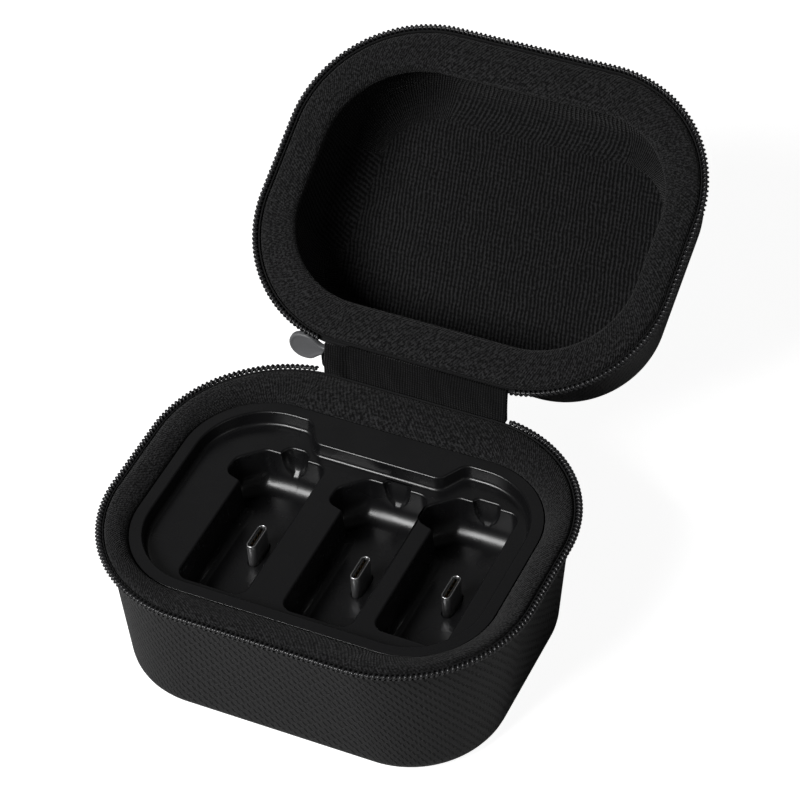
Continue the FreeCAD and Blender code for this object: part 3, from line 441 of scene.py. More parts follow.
def flat_millimetres(wiring):
    """The piece's own flat coordinates, in millimetres."""
    uv = wiring.add("ShaderNodeUVMap", uv_map="flat").outputs[0]
    return wiring.vector("MULTIPLY", uv, (1 / MM, 1 / MM, 1 / MM))


def place_millimetres(wiring):
    """The place on the object, in millimetres."""
    place = wiring.add("ShaderNodeTexCoord").outputs["Object"]
    return wiring.vector("MULTIPLY", place, (1 / MM, 1 / MM, 1 / MM))


def relief(wiring, shader, height, depth):
    """Bumps the surface by height times depth."""
    bump = wiring.add("ShaderNodeBump", {"Height": height, "Distance": depth, "Strength": 1.0})
    wiring.tree.links.new(bump.outputs[0], shader.inputs["Normal"])


LEATHER = (0.0140, 0.0140, 0.0145)
# colour of the pressed strokes: painted shade in their hollows
LEATHER_STROKE_SHADE = (0.0008, 0.0008, 0.0009)
STROKE_DEPTH = 0.45 * MM
GRAIN_SHARE = 0.10
leathercloth, w, shader = finish_material("embossed_leathercloth", LEATHER, 0.5, Specular_IOR_Level=0.30)
emboss = w.add("ShaderNodeGroup", node_tree=embossed_strokes())
w.tree.links.new(flat_millimetres(w), emboss.inputs[0])
# the pressed strokes are coloured far darker than the leather: painted shade in their hollows
tone = w.blend(emboss.outputs["Strokes"], (*LEATHER, 1), (*LEATHER_STROKE_SHADE, 1))
w.tree.links.new(tone, shader.inputs["Base Color"])
w.tree.links.new(w.smooth(emboss.outputs["Grain"], 0.3, 0.7, 0.44, 0.58), shader.inputs["Roughness"])
grain_height = w.math("MULTIPLY", emboss.outputs["Grain"], GRAIN_SHARE)
height = w.math("SUBTRACT", grain_height, emboss.outputs["Strokes"])
relief(w, shader, height, STROKE_DEPTH)

# the window in the back wall is hidden by the bezel's flange: half width, middle, half height
WINDOW = (12.2 * MM, (bezel_low[2] + bezel_high[2]) / 2, 5.2 * MM)
skin("base_leather_skin", BASE_EDGE, 0.0, as_built, leathercloth, "base", WINDOW)
skin("lid_leather_skin", LID_EDGE, LID_TOP, opened, leathercloth, "lid")


# ---------------------------------------------------------------- zip tapes
# Woven polyester tape, folded out over each shell edge. It carries the coil on its outer edge,
# and its inner edge shows as a thin lip in the groove beside the rim band.
TAPE_STEPS = 364
TAPE_POINTS = 56
TAPE_RELIEF = 0.12 * MM
TAPE_RIB, TAPE_PICK = 0.55, 0.40
# section: inset from the zip line, and height from the meeting plane
TAPE_SECTION = np.array([(3.0, -3.50), (0.62, -1.86), (1.76, -1.80), (1.78, -0.85), (2.05, -0.72),
                         (2.25, -0.95), (2.30, -2.05), (4.00, -3.52)]) * MM


def round_section(section, count, softness):
    """A closed section as count evenly spaced points, its corners rounded by a running mean."""
    ends = np.concatenate([section, section[:1]])
    length = np.concatenate([[0], np.cumsum(np.hypot(*np.diff(ends, axis=0).T))])
    at = np.arange(count) / count * length[-1]
    even = np.stack([np.interp(at, length, ends[:, 0]), np.interp(at, length, ends[:, 1])], -1)
    shifts = range(-softness, softness + 1)
    return sum(np.roll(even, shift, axis=0) for shift in shifts) / len(shifts), at


def ring_flat(steps, at):
    """Flat coordinates of a ring: the distance round the zip line, and across the section."""
    around = np.arange(steps + 1) / steps * ZIP_LENGTH
    across = np.concatenate([at, [at[-1] * 2 - at[-2]]])
    return np.stack(np.meshgrid(around, across), -1)


def woven_tape():
    """Height and Shade of a fine woven tape with ribs across it. Works on millimetres."""
    group, w, given = effect("woven_tape", {"Millimetres": None}, ["Height", "Shade"])
    axes = w.add("ShaderNodeSeparateXYZ", {0: given["Millimetres"]}).outputs
    ribs = w.math("SINE", w.math("MULTIPLY", axes[0], 2 * math.pi / TAPE_RIB))
    picks = w.math("SINE", w.math("MULTIPLY", axes[1], 2 * math.pi / TAPE_PICK))
    fuzz = w.noise(given["Millimetres"], 3.0, 3.0, 0.7)
    height = w.math("ADD", w.math("MULTIPLY", w.math("MULTIPLY", ribs, picks), 0.3), fuzz)
    w.add("NodeGroupOutput", {"Height": height, "Shade": w.smooth(fuzz, 0.3, 0.75)})
    return group


TAPE_DARK = (0.004, 0.004, 0.004)
TAPE_LIGHT = (0.013, 0.013, 0.014)
tape_cloth, w, shader = finish_material("woven_tape", TAPE_DARK, 0.85, Specular_IOR_Level=0.25)
weave = w.add("ShaderNodeGroup", node_tree=woven_tape())
w.tree.links.new(flat_millimetres(w), weave.inputs[0])
tone = w.blend(weave.outputs["Shade"], (*TAPE_DARK, 1), (*TAPE_LIGHT, 1))
w.tree.links.new(tone, shader.inputs["Base Color"])
relief(w, shader, weave.outputs["Height"], TAPE_RELIEF)

tape_rounded, tape_at = round_section(TAPE_SECTION, TAPE_POINTS, 1)
tape_x, tape_y = zip_offset(np.arange(TAPE_STEPS) / TAPE_STEPS, tape_rounded[:, :1])
for half, way, place in (("base", 1, as_built), ("lid", -1, opened)):
    tape = Pattern()
    tape.grid(place(np.stack([tape_x, tape_y, MATE + tape_rounded[:, 1:] * way + 0 * tape_x], -1)),
              ring_flat(TAPE_STEPS, tape_at), looped=True)
    tape.make(half + "_woven_tape", tape_cloth, half, "zip_tape", half + "_zip_tape")


# ---------------------------------------------------------------- zip coils
# Each row is one polyester filament wound into a flattened helix round a cord and sewn along
# the tape's edge. It stops short at the hinge. Its loops are thicker where they mesh.
COIL_WIDE = 1.8 * MM
TURN_PITCH = 1.33 * MM
FILAMENT = 0.32 * MM
HEAD_SWELL = 0.45
TURN_STEPS = 14
AROUND_STEPS = 6
CORD_STEPS = 8
CORD_RADIUS = 0.42 * MM
COIL_CLEAR = 0.05 * MM
MESH_ANGLE = math.radians(50)
GAP_LEFT = 28.5 * MM
GAP_RIGHT = 27.0 * MM


def zip_normal(along):
    """The outward direction at each point of the zip line."""
    facing = np.radians(np.interp(along * ZIP_LENGTH, ROUND_KNOTS, ROUND_FACING))
    return np.stack([np.cos(facing), np.sin(facing), 0 * facing], -1)


def tube(path, side, lift, radius, steps):
    """A round tube: at each point, a circle of the radius in the plane of side and lift."""
    angle = (np.arange(steps) / steps * 2 * math.pi)[None, :, None]
    ring = np.cos(angle) * side[:, None] + np.sin(angle) * lift[:, None]
    return path[:, None] + radius[:, None, None] * ring


def coil_row(name, way, place, body):
    """A helix of turns about the coil's middle line.

    At turn angle a the filament lies at width * cos a outwards and height * sin a upwards; its
    radius swells by 1 + swell * cos(a - mesh angle) cubed, where the loops mesh.
    """
    turns = round((ZIP_LENGTH - GAP_LEFT - GAP_RIGHT) / TURN_PITCH)
    step = np.arange(turns * TURN_STEPS + 1) / (turns * TURN_STEPS)
    along = (GAP_LEFT + (ZIP_LENGTH - GAP_LEFT - GAP_RIGHT) * step) / ZIP_LENGTH
    x, y = zip_offset(along, COIL_WIDE / 2)
    middle = np.stack([x, y, MATE - way * (COIL_WIDE / 2 + COIL_CLEAR) + 0 * x], -1)
    outward = zip_normal(along)
    upward = np.broadcast_to(np.array([0.0, 0.0, way]), outward.shape)
    tangent = np.cross(upward, outward)
    angle = (step * turns * 2 * math.pi)[:, None]
    radius = FILAMENT * (1 + HEAD_SWELL * np.maximum(np.cos(angle[:, 0] - MESH_ANGLE), 0) ** 3)
    radial = np.cos(angle) * outward + np.sin(angle) * upward
    wound = tube(middle + (COIL_WIDE / 2 - radius[:, None]) * radial, radial, tangent, radius, AROUND_STEPS)
    sparse = slice(None, None, TURN_STEPS)
    cord = tube(middle[sparse], outward[sparse], upward[sparse], np.full(turns + 1, CORD_RADIUS), CORD_STEPS)
    pattern = Pattern()
    pattern.grid(place(wound))
    pattern.grid(place(cord))
    for end in (wound[0], wound[-1], cord[0], cord[-1]):
        pattern.face([place(end)], 0)
    pattern.make(name, filament, body, "zip_coil", body + "_zip_coil")


FILAMENT_BLACK = (0.010, 0.010, 0.011)
FILAMENT_SCUFFED = (0.022, 0.022, 0.023)
filament, w, shader = finish_material("filament", FILAMENT_BLACK, 0.30, Specular_IOR_Level=0.55)
scuff = w.noise(place_millimetres(w), 0.8, 3.0)
w.tree.links.new(w.smooth(scuff, 0.35, 0.7, 0.24, 0.40), shader.inputs["Roughness"])
w.tree.links.new(w.blend(scuff, (*FILAMENT_BLACK, 1), (*FILAMENT_SCUFFED, 1)), shader.inputs["Base Color"])

coil_row("base_wound_coil", 1, as_built, "base")
coil_row("lid_wound_coil", -1, opened, "lid")


# ---------------------------------------------------------------- rim bands
# Brushed knit laminated over a soft foam ring, glued inside the tape. The base's band rolls
# down to the tray; the lid's is wider, with a turned lip round the lid's hollow.
BAND_STEPS = 420
BAND_POINTS = 72
TRAY_HALF_X, TRAY_HALF_Y, RIM_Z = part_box("charging_tray")[1]
TRAY_CORNER = 22.1 * MM
BAND_TUCK = 0.15 * MM
WAVE_HIGH = 0.05 * MM
BAND_INSET = 2.3 * MM
BAND_WIDE = 9.0 * MM
# sections: share of the way from the tape to the opening, and millimetres below the meeting plane
BASE_BAND = np.array([(0.00, 3.3), (0.00, 1.5), (0.03, 0.75), (0.12, 0.28), (0.28, 0.18), (0.5, 0.42),
                      (0.72, 1.05), (0.9, 1.95), (0.985, 2.72), (1.00, 3.4)])
LID_BAND = np.array([(0.00, 3.4), (0.00, 1.6), (0.03, 0.95), (0.12, 0.45), (0.35, 0.30), (0.65, 0.38),
                     (0.88, 0.75), (0.985, 1.5), (1.0, 2.4), (0.985, 3.4)])
LID_HALF_X = 48.0 * MM
LID_HALF_Y = 34.1 * MM
LID_CORNER = 25.0 * MM


def rim_band(name, section, opening, way, place, body):
    """A section carried round between the tape and an opening.

    Each point lies at its share of the way from the tape's outline to the opening's outline, and
    slow waves of a fraction of a millimetre keep the cloth from looking pressed.
    """
    rounded, at = round_section(section * np.array([BAND_WIDE, MM]), BAND_POINTS, 2)
    share = rounded[:, :1] / BAND_WIDE
    along = np.arange(BAND_STEPS) / BAND_STEPS
    outer_x, outer_y = zip_offset(along, BAND_INSET)
    inner_x, inner_y = round_rect(along, *opening)
    x = outer_x + (inner_x - outer_x) * share
    y = outer_y + (inner_y - outer_y) * share
    turn = along * 2 * math.pi
    wave = WAVE_HIGH * (np.sin(9 * turn + 1.3 + 5 * share) + np.sin(23 * turn + 0.4 - 7 * share))
    z = MATE - way * (rounded[:, 1:] + wave * np.sin(np.clip(share, 0, 1) * math.pi))
    pattern = Pattern()
    pattern.grid(place(np.stack([x, y, z], -1)), ring_flat(BAND_STEPS, at), looped=True)
    piece = pattern.make(name, brushed_knit, body, "knit_lining", body + "_rim_band")


def brushed_ribs():
    """Height and Shade of brushed knit: fine slanted ribs under a nap. Works on millimetres."""
    inputs = {"Millimetres": None, "Rib pitch": 0.62, "Slant": 0.6, "Rib share": 0.5}
    group, w, given = effect("brushed_ribs", inputs, ["Height", "Shade"])
    place = given["Millimetres"]
    axes = w.add("ShaderNodeSeparateXYZ", {0: place}).outputs
    bend = w.math("MULTIPLY", w.math("SUBTRACT", w.noise(place, 0.12, 2.0), 0.5), 1.6)
    across = w.math("ADD", w.math("ADD", axes[0], w.math("MULTIPLY", axes[1], given["Slant"])), bend)
    turns = [w.math("DIVIDE", way, given["Rib pitch"]) for way in (across, axes[1])]
    ribs, stitches = [w.math("SINE", w.math("MULTIPLY", turn, 2 * math.pi)) for turn in turns]
    nap = w.noise(place, 1.25, 4.0, 0.75)
    patch = w.noise(place, 0.22, 2.0)
    woven = w.math("MULTIPLY", w.math("ADD", ribs, w.math("MULTIPLY", stitches, 0.35)), given["Rib share"])
    height = w.math("ADD", w.math("MULTIPLY", nap, 1.8), woven)
    tuft = w.smooth(w.math("ADD", nap, w.math("MULTIPLY", woven, 0.12)), 0.43, 0.60)
    shade = w.math("MULTIPLY", tuft, w.smooth(patch, 0.25, 0.75, 0.8, 1.1))
    w.add("NodeGroupOutput", {"Height": height, "Shade": shade})
    return group


ribs_effect = brushed_ribs()


def knit_material(name, dark, light, pitch, slant, rib_share, depth):
    """Brushed knit with a soft sheen."""
    material, w, shader = finish_material(name, light, 0.9, Specular_IOR_Level=0.2, Sheen_Weight=0.06,
                                          Sheen_Roughness=0.45)
    knit = w.add("ShaderNodeGroup", node_tree=ribs_effect)
    w.tree.links.new(flat_millimetres(w), knit.inputs[0])
    for socket, value in (("Rib pitch", pitch), ("Slant", slant), ("Rib share", rib_share)):
        knit.inputs[socket].default_value = value
    w.tree.links.new(w.blend(knit.outputs["Shade"], (*dark, 1), (*light, 1)), shader.inputs["Base Color"])
    relief(w, shader, knit.outputs["Height"], depth)
    return material


KNIT_DARK = (0.0006, 0.0006, 0.0008)
KNIT_LIGHT = (0.027, 0.027, 0.028)
brushed_knit = knit_material("brushed_knit", KNIT_DARK, KNIT_LIGHT, 0.95, 0.9, 0.3, 0.24 * MM)

base_opening = (TRAY_HALF_X + BAND_TUCK, TRAY_HALF_Y + BAND_TUCK, TRAY_CORNER + BAND_TUCK, 0.0)
lid_opening = (LID_HALF_X, LID_HALF_Y, LID_CORNER, ZIP_MID_Y)
rim_band("base_knit_band", BASE_BAND, base_opening, 1, as_built, "base")
rim_band("lid_knit_band", LID_BAND, lid_opening, -1, opened, "lid")


# ---------------------------------------------------------------- lid lining
# The same knit lines the lid's hollow, over a wide soft fillet, with a thin ridge of piping
# just under the band's lip.
LINING_INSET = 3.75 * MM
LINING_WALL = 0.6 * MM
LINING_ROUND = 7.0 * MM
LINING_ROWS = 40
RIPPLE_HIGH = 0.10 * MM
RIPPLE_TO = 12 * MM
RIDGE_HIGH = 0.8 * MM
RIDGE_UNDER_EDGE = 3.2 * MM
RIDGE_WIDE = 0.9 * MM


def lining_face(along, inset):
    """The lining's inner face; the ridge is a bell of the depth, over slow ripples in the wall."""
    radius = LINING_ROUND - inset + LINING_INSET
    face, length = shell_face(along, LID_EDGE, LID_TOP, inset, LINING_ROWS, radius)
    under = face[:, :, 2] - LID_EDGE - RIDGE_UNDER_EDGE
    bell = RIDGE_HIGH * np.exp(-(under / RIDGE_WIDE) ** 2)
    turn = along * 2 * math.pi
    bell += RIPPLE_HIGH * np.sin(7 * turn + 250 * under) * np.sin(3 * turn + 1.0)
    return face - bell[..., None] * zip_normal(along) * (under < RIPPLE_TO)[..., None], length


lining = Pattern()
along = np.arange(SKIN_STEPS) / SKIN_STEPS
lining_outer, _ = shell_face(along, LID_EDGE, LID_TOP, LINING_INSET, LINING_ROWS, LINING_ROUND)
lining_inner, length = lining_face(along, LINING_INSET + LINING_WALL)
around = np.arange(SKIN_STEPS + 1) / SKIN_STEPS * ZIP_LENGTH
lengths = np.concatenate([-length[::-1] - MM, length, length[-1:]])
lining.grid(opened(np.concatenate([lining_outer[::-1], lining_inner])),
            np.stack(np.broadcast_arrays(around[None, :], lengths), -1))
lining.face([opened(lining_outer[-1])])
lining.face([opened(lining_inner[-1])])
PANEL_LIGHT = (0.020, 0.020, 0.021)
panel_knit = knit_material("panel_knit", KNIT_DARK, PANEL_LIGHT, 1.1, 0.25, 0.9, 0.20 * MM)
lining.make("lid_knit_lining", panel_knit, "lid", "knit_lining", "lid_lining")


# ---------------------------------------------------------------- hinge cloth
# Two layers of cloth join the halves between the ends of the zip: knit inside, tape outside.
# They bulge a little with soft folds, and their ends meet the two tapes.
HINGE_THICK = 0.65 * MM
HINGE_ROWS = 21
HINGE_COLUMNS = 90
HINGE_BELOW, HINGE_ABOVE = 2.0 * MM, 8.2 * MM
HINGE_BEHIND = 1.55 * MM
HINGE_FOLD = 0.16 * MM
HINGE_BULGE = 0.35 * MM
GUSSET = 6.0 * MM
GUSSET_FROM = -19.0 * MM
GUSSET_TURN = 3.0 * MM
GUSSET_FORWARD = 1.0 * MM


def hinge_cloth(name, node, behind, gusset, material, slot):
    """A sheet between the tapes at the back, bulging slightly, with soft cross folds.

    Rows rise from the base's tape to the lid's; the bulge is a half sine, the folds are slow
    sines along the strip that fade out at both tapes. A gusset runs on past the left end, in
    front of the slider.
    """
    low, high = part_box(node)
    low[0] -= gusset
    across = np.linspace(low[0], high[0], HINGE_COLUMNS)[None, :]
    up = np.linspace(0, 1, HINGE_ROWS)[:, None]
    bulge = np.sin(up * math.pi)
    fold = HINGE_FOLD * bulge * np.sin(across / MM * 0.9 + 3 * up) * np.sin(across / MM * 0.23)
    past = np.clip((GUSSET_FROM - across) / GUSSET_TURN, 0, 1)
    forward = min(gusset, GUSSET_FORWARD) * past * past * (3 - 2 * past)
    base_y = behind + ZIP_MID_Y + ZIP_HALF_Y - 1.0 * MM
    y = base_y + HINGE_BEHIND * up + fold - HINGE_BULGE * bulge - forward
    z = MATE - HINGE_BELOW + (HINGE_BELOW + HINGE_ABOVE) * up + 0 * across
    front = np.stack([across + 0 * up, y, z], -1)
    back = front + np.array([0, HINGE_THICK, 0])
    ring = np.concatenate([front, back[:, ::-1]], axis=1)
    measured = np.concatenate([across[0], across[0, ::-1]])
    flat = np.stack(np.broadcast_arrays(np.append(measured, measured[0])[None, :], z[:, :1]), -1)
    pattern = Pattern()
    pattern.grid(ring, flat)
    for row in (ring[0], ring[-1]):
        pattern.face([row])
    piece = pattern.make(name, material, None, slot, node)
    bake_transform(piece)


# the hinge knit is the brushed knit made far darker: painted shade cast by the lid standing over it
HINGE_SHADE_DARK = (0.0005, 0.0005, 0.0006)
HINGE_SHADE_LIGHT = (0.004, 0.004, 0.0045)
shaded_hinge_knit = knit_material("shaded_hinge_knit", HINGE_SHADE_DARK, HINGE_SHADE_LIGHT, 0.7, 0.0, 0.9, 0.12 * MM)
hinge_cloth("hinge_knit_cloth", "hinge_strip_inner", 0.0, GUSSET, shaded_hinge_knit, "knit_lining")
hinge_cloth("hinge_tape_cloth", "hinge_strip_outer", 0.85 * MM, 0.0, tape_cloth, "zip_tape")


# ---------------------------------------------------------------- charging tray
# One moulding in satin black plastic: a rounded rim, a sunk deck, and three bays with finger
# lobes and a wide fillet at the back, each with a slot in its floor for a charging plug.
DECK_Z = RIM_Z - 4.0 * MM
FLOOR_Z = DECK_Z - 11.4 * MM
TRAY_FOOT_Z = FLOOR_Z - 2.0 * MM
SKIRT_STEP = 0.9 * MM
EDGE_ROUND = 0.55 * MM
RIM_ROUND = 0.1 * MM
FLAT_RING = 0.05 * MM
SKIRT_Z = RIM_Z - 5.6 * MM
RECESS_DRAFT = 0.35 * MM
RECESS_FILLET = 1.0 * MM
SLOT_CLEAR = 0.6 * MM
RECESS = np.array([(-46.2, -31.4), (46.2, -31.4), (46.2, 31.4), (21.9, 31.4), (17.7, 24.4), (-17.7, 24.4),
                   (-21.9, 31.4), (-46.2, 31.4)]) * MM
RECESS_RADII = np.array([18.6, 18.6, 18.6, 3.4, 3.4, 3.4, 3.4, 18.6]) * MM
# the bays, in millimetres: name, left side, front, and how far the back notch reaches
BAYS = (("one", -31.9, -27.4, 3.0), ("two", -2.6, -27.4, 1.9), ("three", 21.5, -24.9, 1.5))
BAY_WIDE = 18.9
BAY_LONG = 48.6
LOBE = ((-4.9, 37.6), (0, 36.1))
LOBE_TOP_X, LOBE_TOP_Y = -4.6, 43.0
LOBE_BACK_X = 1.4
NOTCH_MIDDLE = 9.4
NOTCH_DEEP = 7.0
NOTCH_HALF = 3.8
NOTCH_TAPER = 0.4
BAY_RADII = np.array([3.0, 3.0, 3.0, 0.3, 1, 1, 0.3, 3.5, 3.5, 2.6, 0.8]) * MM
SIDE_FILLET = 2.4
BACK_FILLET = 5.0
DRAFT = 0.6
PLUG_LONG = 8.34 * MM
PLUG_WIDE = 2.56 * MM
PLUG_ACROSS = 10.7
PLUG_ALONG = 23.4


def fillet_outline(corners, radii, inset, steps=9):
    """A polygon moved inwards by inset, its corners rounded by arcs.

    Each corner moves by inset (n1 + n2) / (1 + n1 . n2), where n1 and n2 are the inward normals of
    its two sides. An outer corner's radius shrinks by inset, and an inner corner's grows by it.
    """
    side = corners - np.roll(corners, 1, axis=0)
    side = side / np.linalg.norm(side, axis=1, keepdims=True)
    before = np.stack([-side[:, 1], side[:, 0]], -1)
    after = np.roll(before, -1, axis=0)
    dot = np.clip((before * after).sum(1), -0.999, 1)
    way = np.where(before[:, 0] * after[:, 1] - before[:, 1] * after[:, 0] < 0, -1, 1)
    toward = (before + after) / (1 + dot)[:, None]
    radius = np.maximum(radii - way * inset, 0.03 * MM)
    centre = corners + toward * (inset + way * radius)[:, None]
    start = np.arctan2(-way * before[:, 1], -way * before[:, 0])
    angle = start[:, None] + (way * np.arccos(dot))[:, None] * np.linspace(0, 1, steps)
    arc = np.stack([np.cos(angle), np.sin(angle)], -1)
    return (centre[:, None] + radius[:, None, None] * arc).reshape(-1, 2)


def stacked(outlines, levels):
    """Outlines in the plane set at their levels, as a grid of points."""
    levels = np.broadcast_to(np.asarray(levels)[:, None, None], (*np.shape(outlines)[:2], 1))
    return np.concatenate([np.stack(outlines), levels], -1)


def quarter(radius, steps=5):
    """Inset and drop of a quarter round, from the flat to the wall."""
    angle = np.radians(np.linspace(90, 0, steps))
    return radius * (1 - np.cos(angle)), radius * (1 - np.sin(angle))


def bay_rings(left, front, notch):
    """Rings down a bay: rounded top edge, drafted wall, and a fillet that is wider at the back.

    The back notch is a bowl: its reach and width follow sqrt(1 - (depth / its depth) ** 2).
    """
    out, down = quarter(EDGE_ROUND / MM)
    deep = (DECK_Z - FLOOR_Z) / MM
    wall = np.linspace(1.0, deep - BACK_FILLET, 14)
    round_back = deep - BACK_FILLET * (1 - np.sin(np.radians(np.linspace(0, 90, 16)[1:])))
    drops = np.concatenate([[0], down, wall, round_back, [deep]])
    top = np.concatenate([[-EDGE_ROUND / MM - 0.05], -out, np.zeros(len(drops) - len(down) - 1)])
    turn = np.clip((drops - deep + SIDE_FILLET) / SIDE_FILLET, 0, 1)
    fillet = SIDE_FILLET * (1 - np.sqrt(1 - turn ** 2))
    insets = top + DRAFT * drops / deep + fillet
    insets[-1] += 0.1
    turn = np.clip((drops - deep + BACK_FILLET) / BACK_FILLET, 0, 1)
    back = np.maximum(BACK_FILLET * (1 - np.sqrt(1 - turn ** 2)) - fillet, 0)
    bowl = np.maximum(np.sqrt(np.clip(1 - (drops / NOTCH_DEEP) ** 2, 0, 1)), 0.02)
    rings = []
    for inset, shift, share in zip(insets, back, bowl):
        high, notched, half = BAY_LONG - shift, notch * share, NOTCH_HALF * max(share, 0.3)
        inner = half - NOTCH_TAPER
        corners = np.array([(0, 0), (BAY_WIDE, 0), (BAY_WIDE, high), (NOTCH_MIDDLE + half, high),
                            (NOTCH_MIDDLE + inner, high + notched), (NOTCH_MIDDLE - inner, high + notched),
                            (NOTCH_MIDDLE - half, high), (LOBE_BACK_X, high),
                            (LOBE_TOP_X, LOBE_TOP_Y - 0.7 * shift), *LOBE])
        radii = BAY_RADII.copy()
        radii[4:6] = min(0.95 * notched, 0.8 * half) * MM
        rings.append(fillet_outline((corners + (left, front)) * MM, radii, inset * MM, 7))
    return stacked(rings, DECK_Z - drops * MM)


def stadium(left, front, long_y, wide_x, inset, steps=9):
    """A plug's outline in its bay: a rounded bar, longer front to back."""
    middle = np.array([left + PLUG_ACROSS, front + PLUG_ALONG]) * MM
    half = np.array([wide_x, long_y]) / 2
    corners = middle + half * np.array([(-1, -1), (1, -1), (1, 1), (-1, 1)])
    return fillet_outline(corners, np.full(4, wide_x / 2 - 0.02 * MM), inset, steps)


def satin_grain():
    """Height, Shade and Polish of fine moulded grain. Works on millimetres."""
    group, w, given = effect("satin_grain", {"Millimetres": None}, ["Height", "Shade", "Polish"])
    grain = w.noise(given["Millimetres"], 5.5, 3.0, 0.65)
    patch = w.noise(given["Millimetres"], 0.10, 3.0)
    shade, polish = w.smooth(grain, 0.35, 0.65), w.smooth(patch, 0.3, 0.7)
    w.add("NodeGroupOutput", {"Height": grain, "Shade": shade, "Polish": polish})
    return group


grain_effect = satin_grain()


def moulded(name, dark, light, smooth_low, smooth_high, depth, **uniform):
    """Moulded plastic or plain metal: fine grain, with patches of slightly different polish."""
    material, w, shader = finish_material(name, dark, smooth_low, **uniform)
    grain = w.add("ShaderNodeGroup", node_tree=grain_effect)
    w.tree.links.new(place_millimetres(w), grain.inputs[0])
    w.tree.links.new(w.blend(grain.outputs["Shade"], (*dark, 1), (*light, 1)), shader.inputs["Base Color"])
    polish = w.smooth(grain.outputs["Polish"], 0.0, 1.0, smooth_low, smooth_high)
    w.tree.links.new(polish, shader.inputs["Roughness"])
    relief(w, shader, grain.outputs["Height"], depth)
    return material


tray_satin = moulded("tray_satin", (0.0045, 0.0045, 0.005), (0.0075, 0.0075, 0.008), 0.24, 0.32, 0.012 * MM)

# each flat is bordered by a narrow level ring, so that the rounds beside it shade cleanly
tray = Pattern()
rim_corners = np.array([(-1, -1), (1, -1), (1, 1), (-1, 1)]) * np.array([TRAY_HALF_X, TRAY_HALF_Y])
rim_radii = np.full(4, TRAY_CORNER)
out, down = quarter(RIM_ROUND)
insets = np.concatenate([[RIM_ROUND + FLAT_RING], out, [0, SKIRT_STEP, SKIRT_STEP, SKIRT_STEP + 0.2 * MM]])
skirt_levels = [SKIRT_Z + 0.1 * MM, SKIRT_Z, TRAY_FOOT_Z, TRAY_FOOT_Z]
levels = np.concatenate([[RIM_Z], RIM_Z - down, skirt_levels])
rim = stacked([fillet_outline(rim_corners, rim_radii, inset, 26) for inset in insets], levels)
tray.grid(rim)

out, down = quarter(EDGE_ROUND)
foot_out, foot_down = quarter(RECESS_FILLET, 7)
foot_insets = RECESS_DRAFT + foot_out[::-1]
recess_insets = np.concatenate([[-EDGE_ROUND - FLAT_RING], -out, foot_insets, [foot_insets[-1] + 0.1 * MM]])
recess_levels = np.concatenate([[RIM_Z], RIM_Z - down, DECK_Z + foot_down[::-1], [DECK_Z]])
recess = stacked([fillet_outline(RECESS, RECESS_RADII, inset, 14) for inset in recess_insets], recess_levels)
tray.grid(recess)
tray.face([rim[0], recess[0]])

bays = [bay_rings(left, front, notch) for _, left, front, notch in BAYS]
slot_rings = []
for _, left, front, _ in BAYS:
    rings = [stadium(left, front, PLUG_LONG + SLOT_CLEAR, PLUG_WIDE + SLOT_CLEAR, inset)
             for inset in (-0.25 * MM, -0.10 * MM, 0, 0)]
    slot_rings.append(stacked(rings, [FLOOR_Z, FLOOR_Z, FLOOR_Z - 0.10 * MM, TRAY_FOOT_Z]))
tray.face([recess[-1]] + [bay[0] for bay in bays])
for bay, slot in zip(bays, slot_rings):
    tray.grid(bay)
    tray.grid(slot)
    tray.face([bay[-1], slot[0]])
tray.face([rim[-1]] + [slot[-1] for slot in slot_rings])
tray.make("moulded_tray", tray_satin, "base", "tray_plastic", "charging_tray")


# ---------------------------------------------------------------- charging plugs
# A drawn steel shell with a rolled lip stands in each bay; a black insert and gilt contacts
# sit inside it.
PLUG_TOP = FLOOR_Z + 6.9 * MM
PLUG_FOOT = FLOOR_Z - 1.95 * MM
PLUG_WALL = 0.32 * MM

plug_steel = moulded("plug_steel", (0.75, 0.75, 0.76), (0.85, 0.85, 0.86), 0.28, 0.40, 0.004 * MM,
                     Metallic=1.0)
plugs = Pattern()
lip, fall = quarter(PLUG_WALL / 2)
plug_insets = np.concatenate([[0, 0], lip[::-1], PLUG_WALL - lip[1:], [PLUG_WALL]])
falls = np.concatenate([[PLUG_TOP - PLUG_FOOT, MM], fall[::-1], fall[1:], [PLUG_TOP - PLUG_FOOT]])
plug_levels = PLUG_TOP - falls
for _, left, front, _ in BAYS:
    rings = [stadium(left, front, PLUG_LONG, PLUG_WIDE, inset, 10) for inset in plug_insets]
    plugs.grid(stacked(rings, plug_levels), looped=True)
plug_nodes = ["plug_shell_" + number for number, *_ in BAYS]
plugs.make("drawn_plug_shells", plug_steel, "base", "plug_steel", *plug_nodes)


# ---------------------------------------------------------------- pull tab
# A moulded grey tab with a round head, rounded edges and a dished face; its sleeve turns on
# the slider's bar.
TAB_LOW, TAB_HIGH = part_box("zip_pull_tab")
TAB_HEAD = 4.2 * MM
TAB_NECK = 1.4 * MM
TAB_MIDDLE_Z = (TAB_LOW[2] + TAB_HIGH[2]) / 2
TAB_HEAD_X = TAB_LOW[0] + TAB_HEAD
TAB_PIVOT_X = TAB_HEAD_X + 10.5 * MM
TAB_PIVOT_Y = (TAB_LOW[1] + TAB_HIGH[1]) / 2
TAB_THICK = TAB_HIGH[1] - TAB_LOW[1]
TAB_BORE = 0.58 * MM
TAB_SHOULDER = TAB_HEAD_X + 2.0 * MM
TAB_WAIST = TAB_HEAD_X + 5.2 * MM
TAB_END = TAB_PIVOT_X - 0.75 * MM
TAB_ROUND = 0.5 * MM
SLEEVE_ROUND = 0.12 * MM

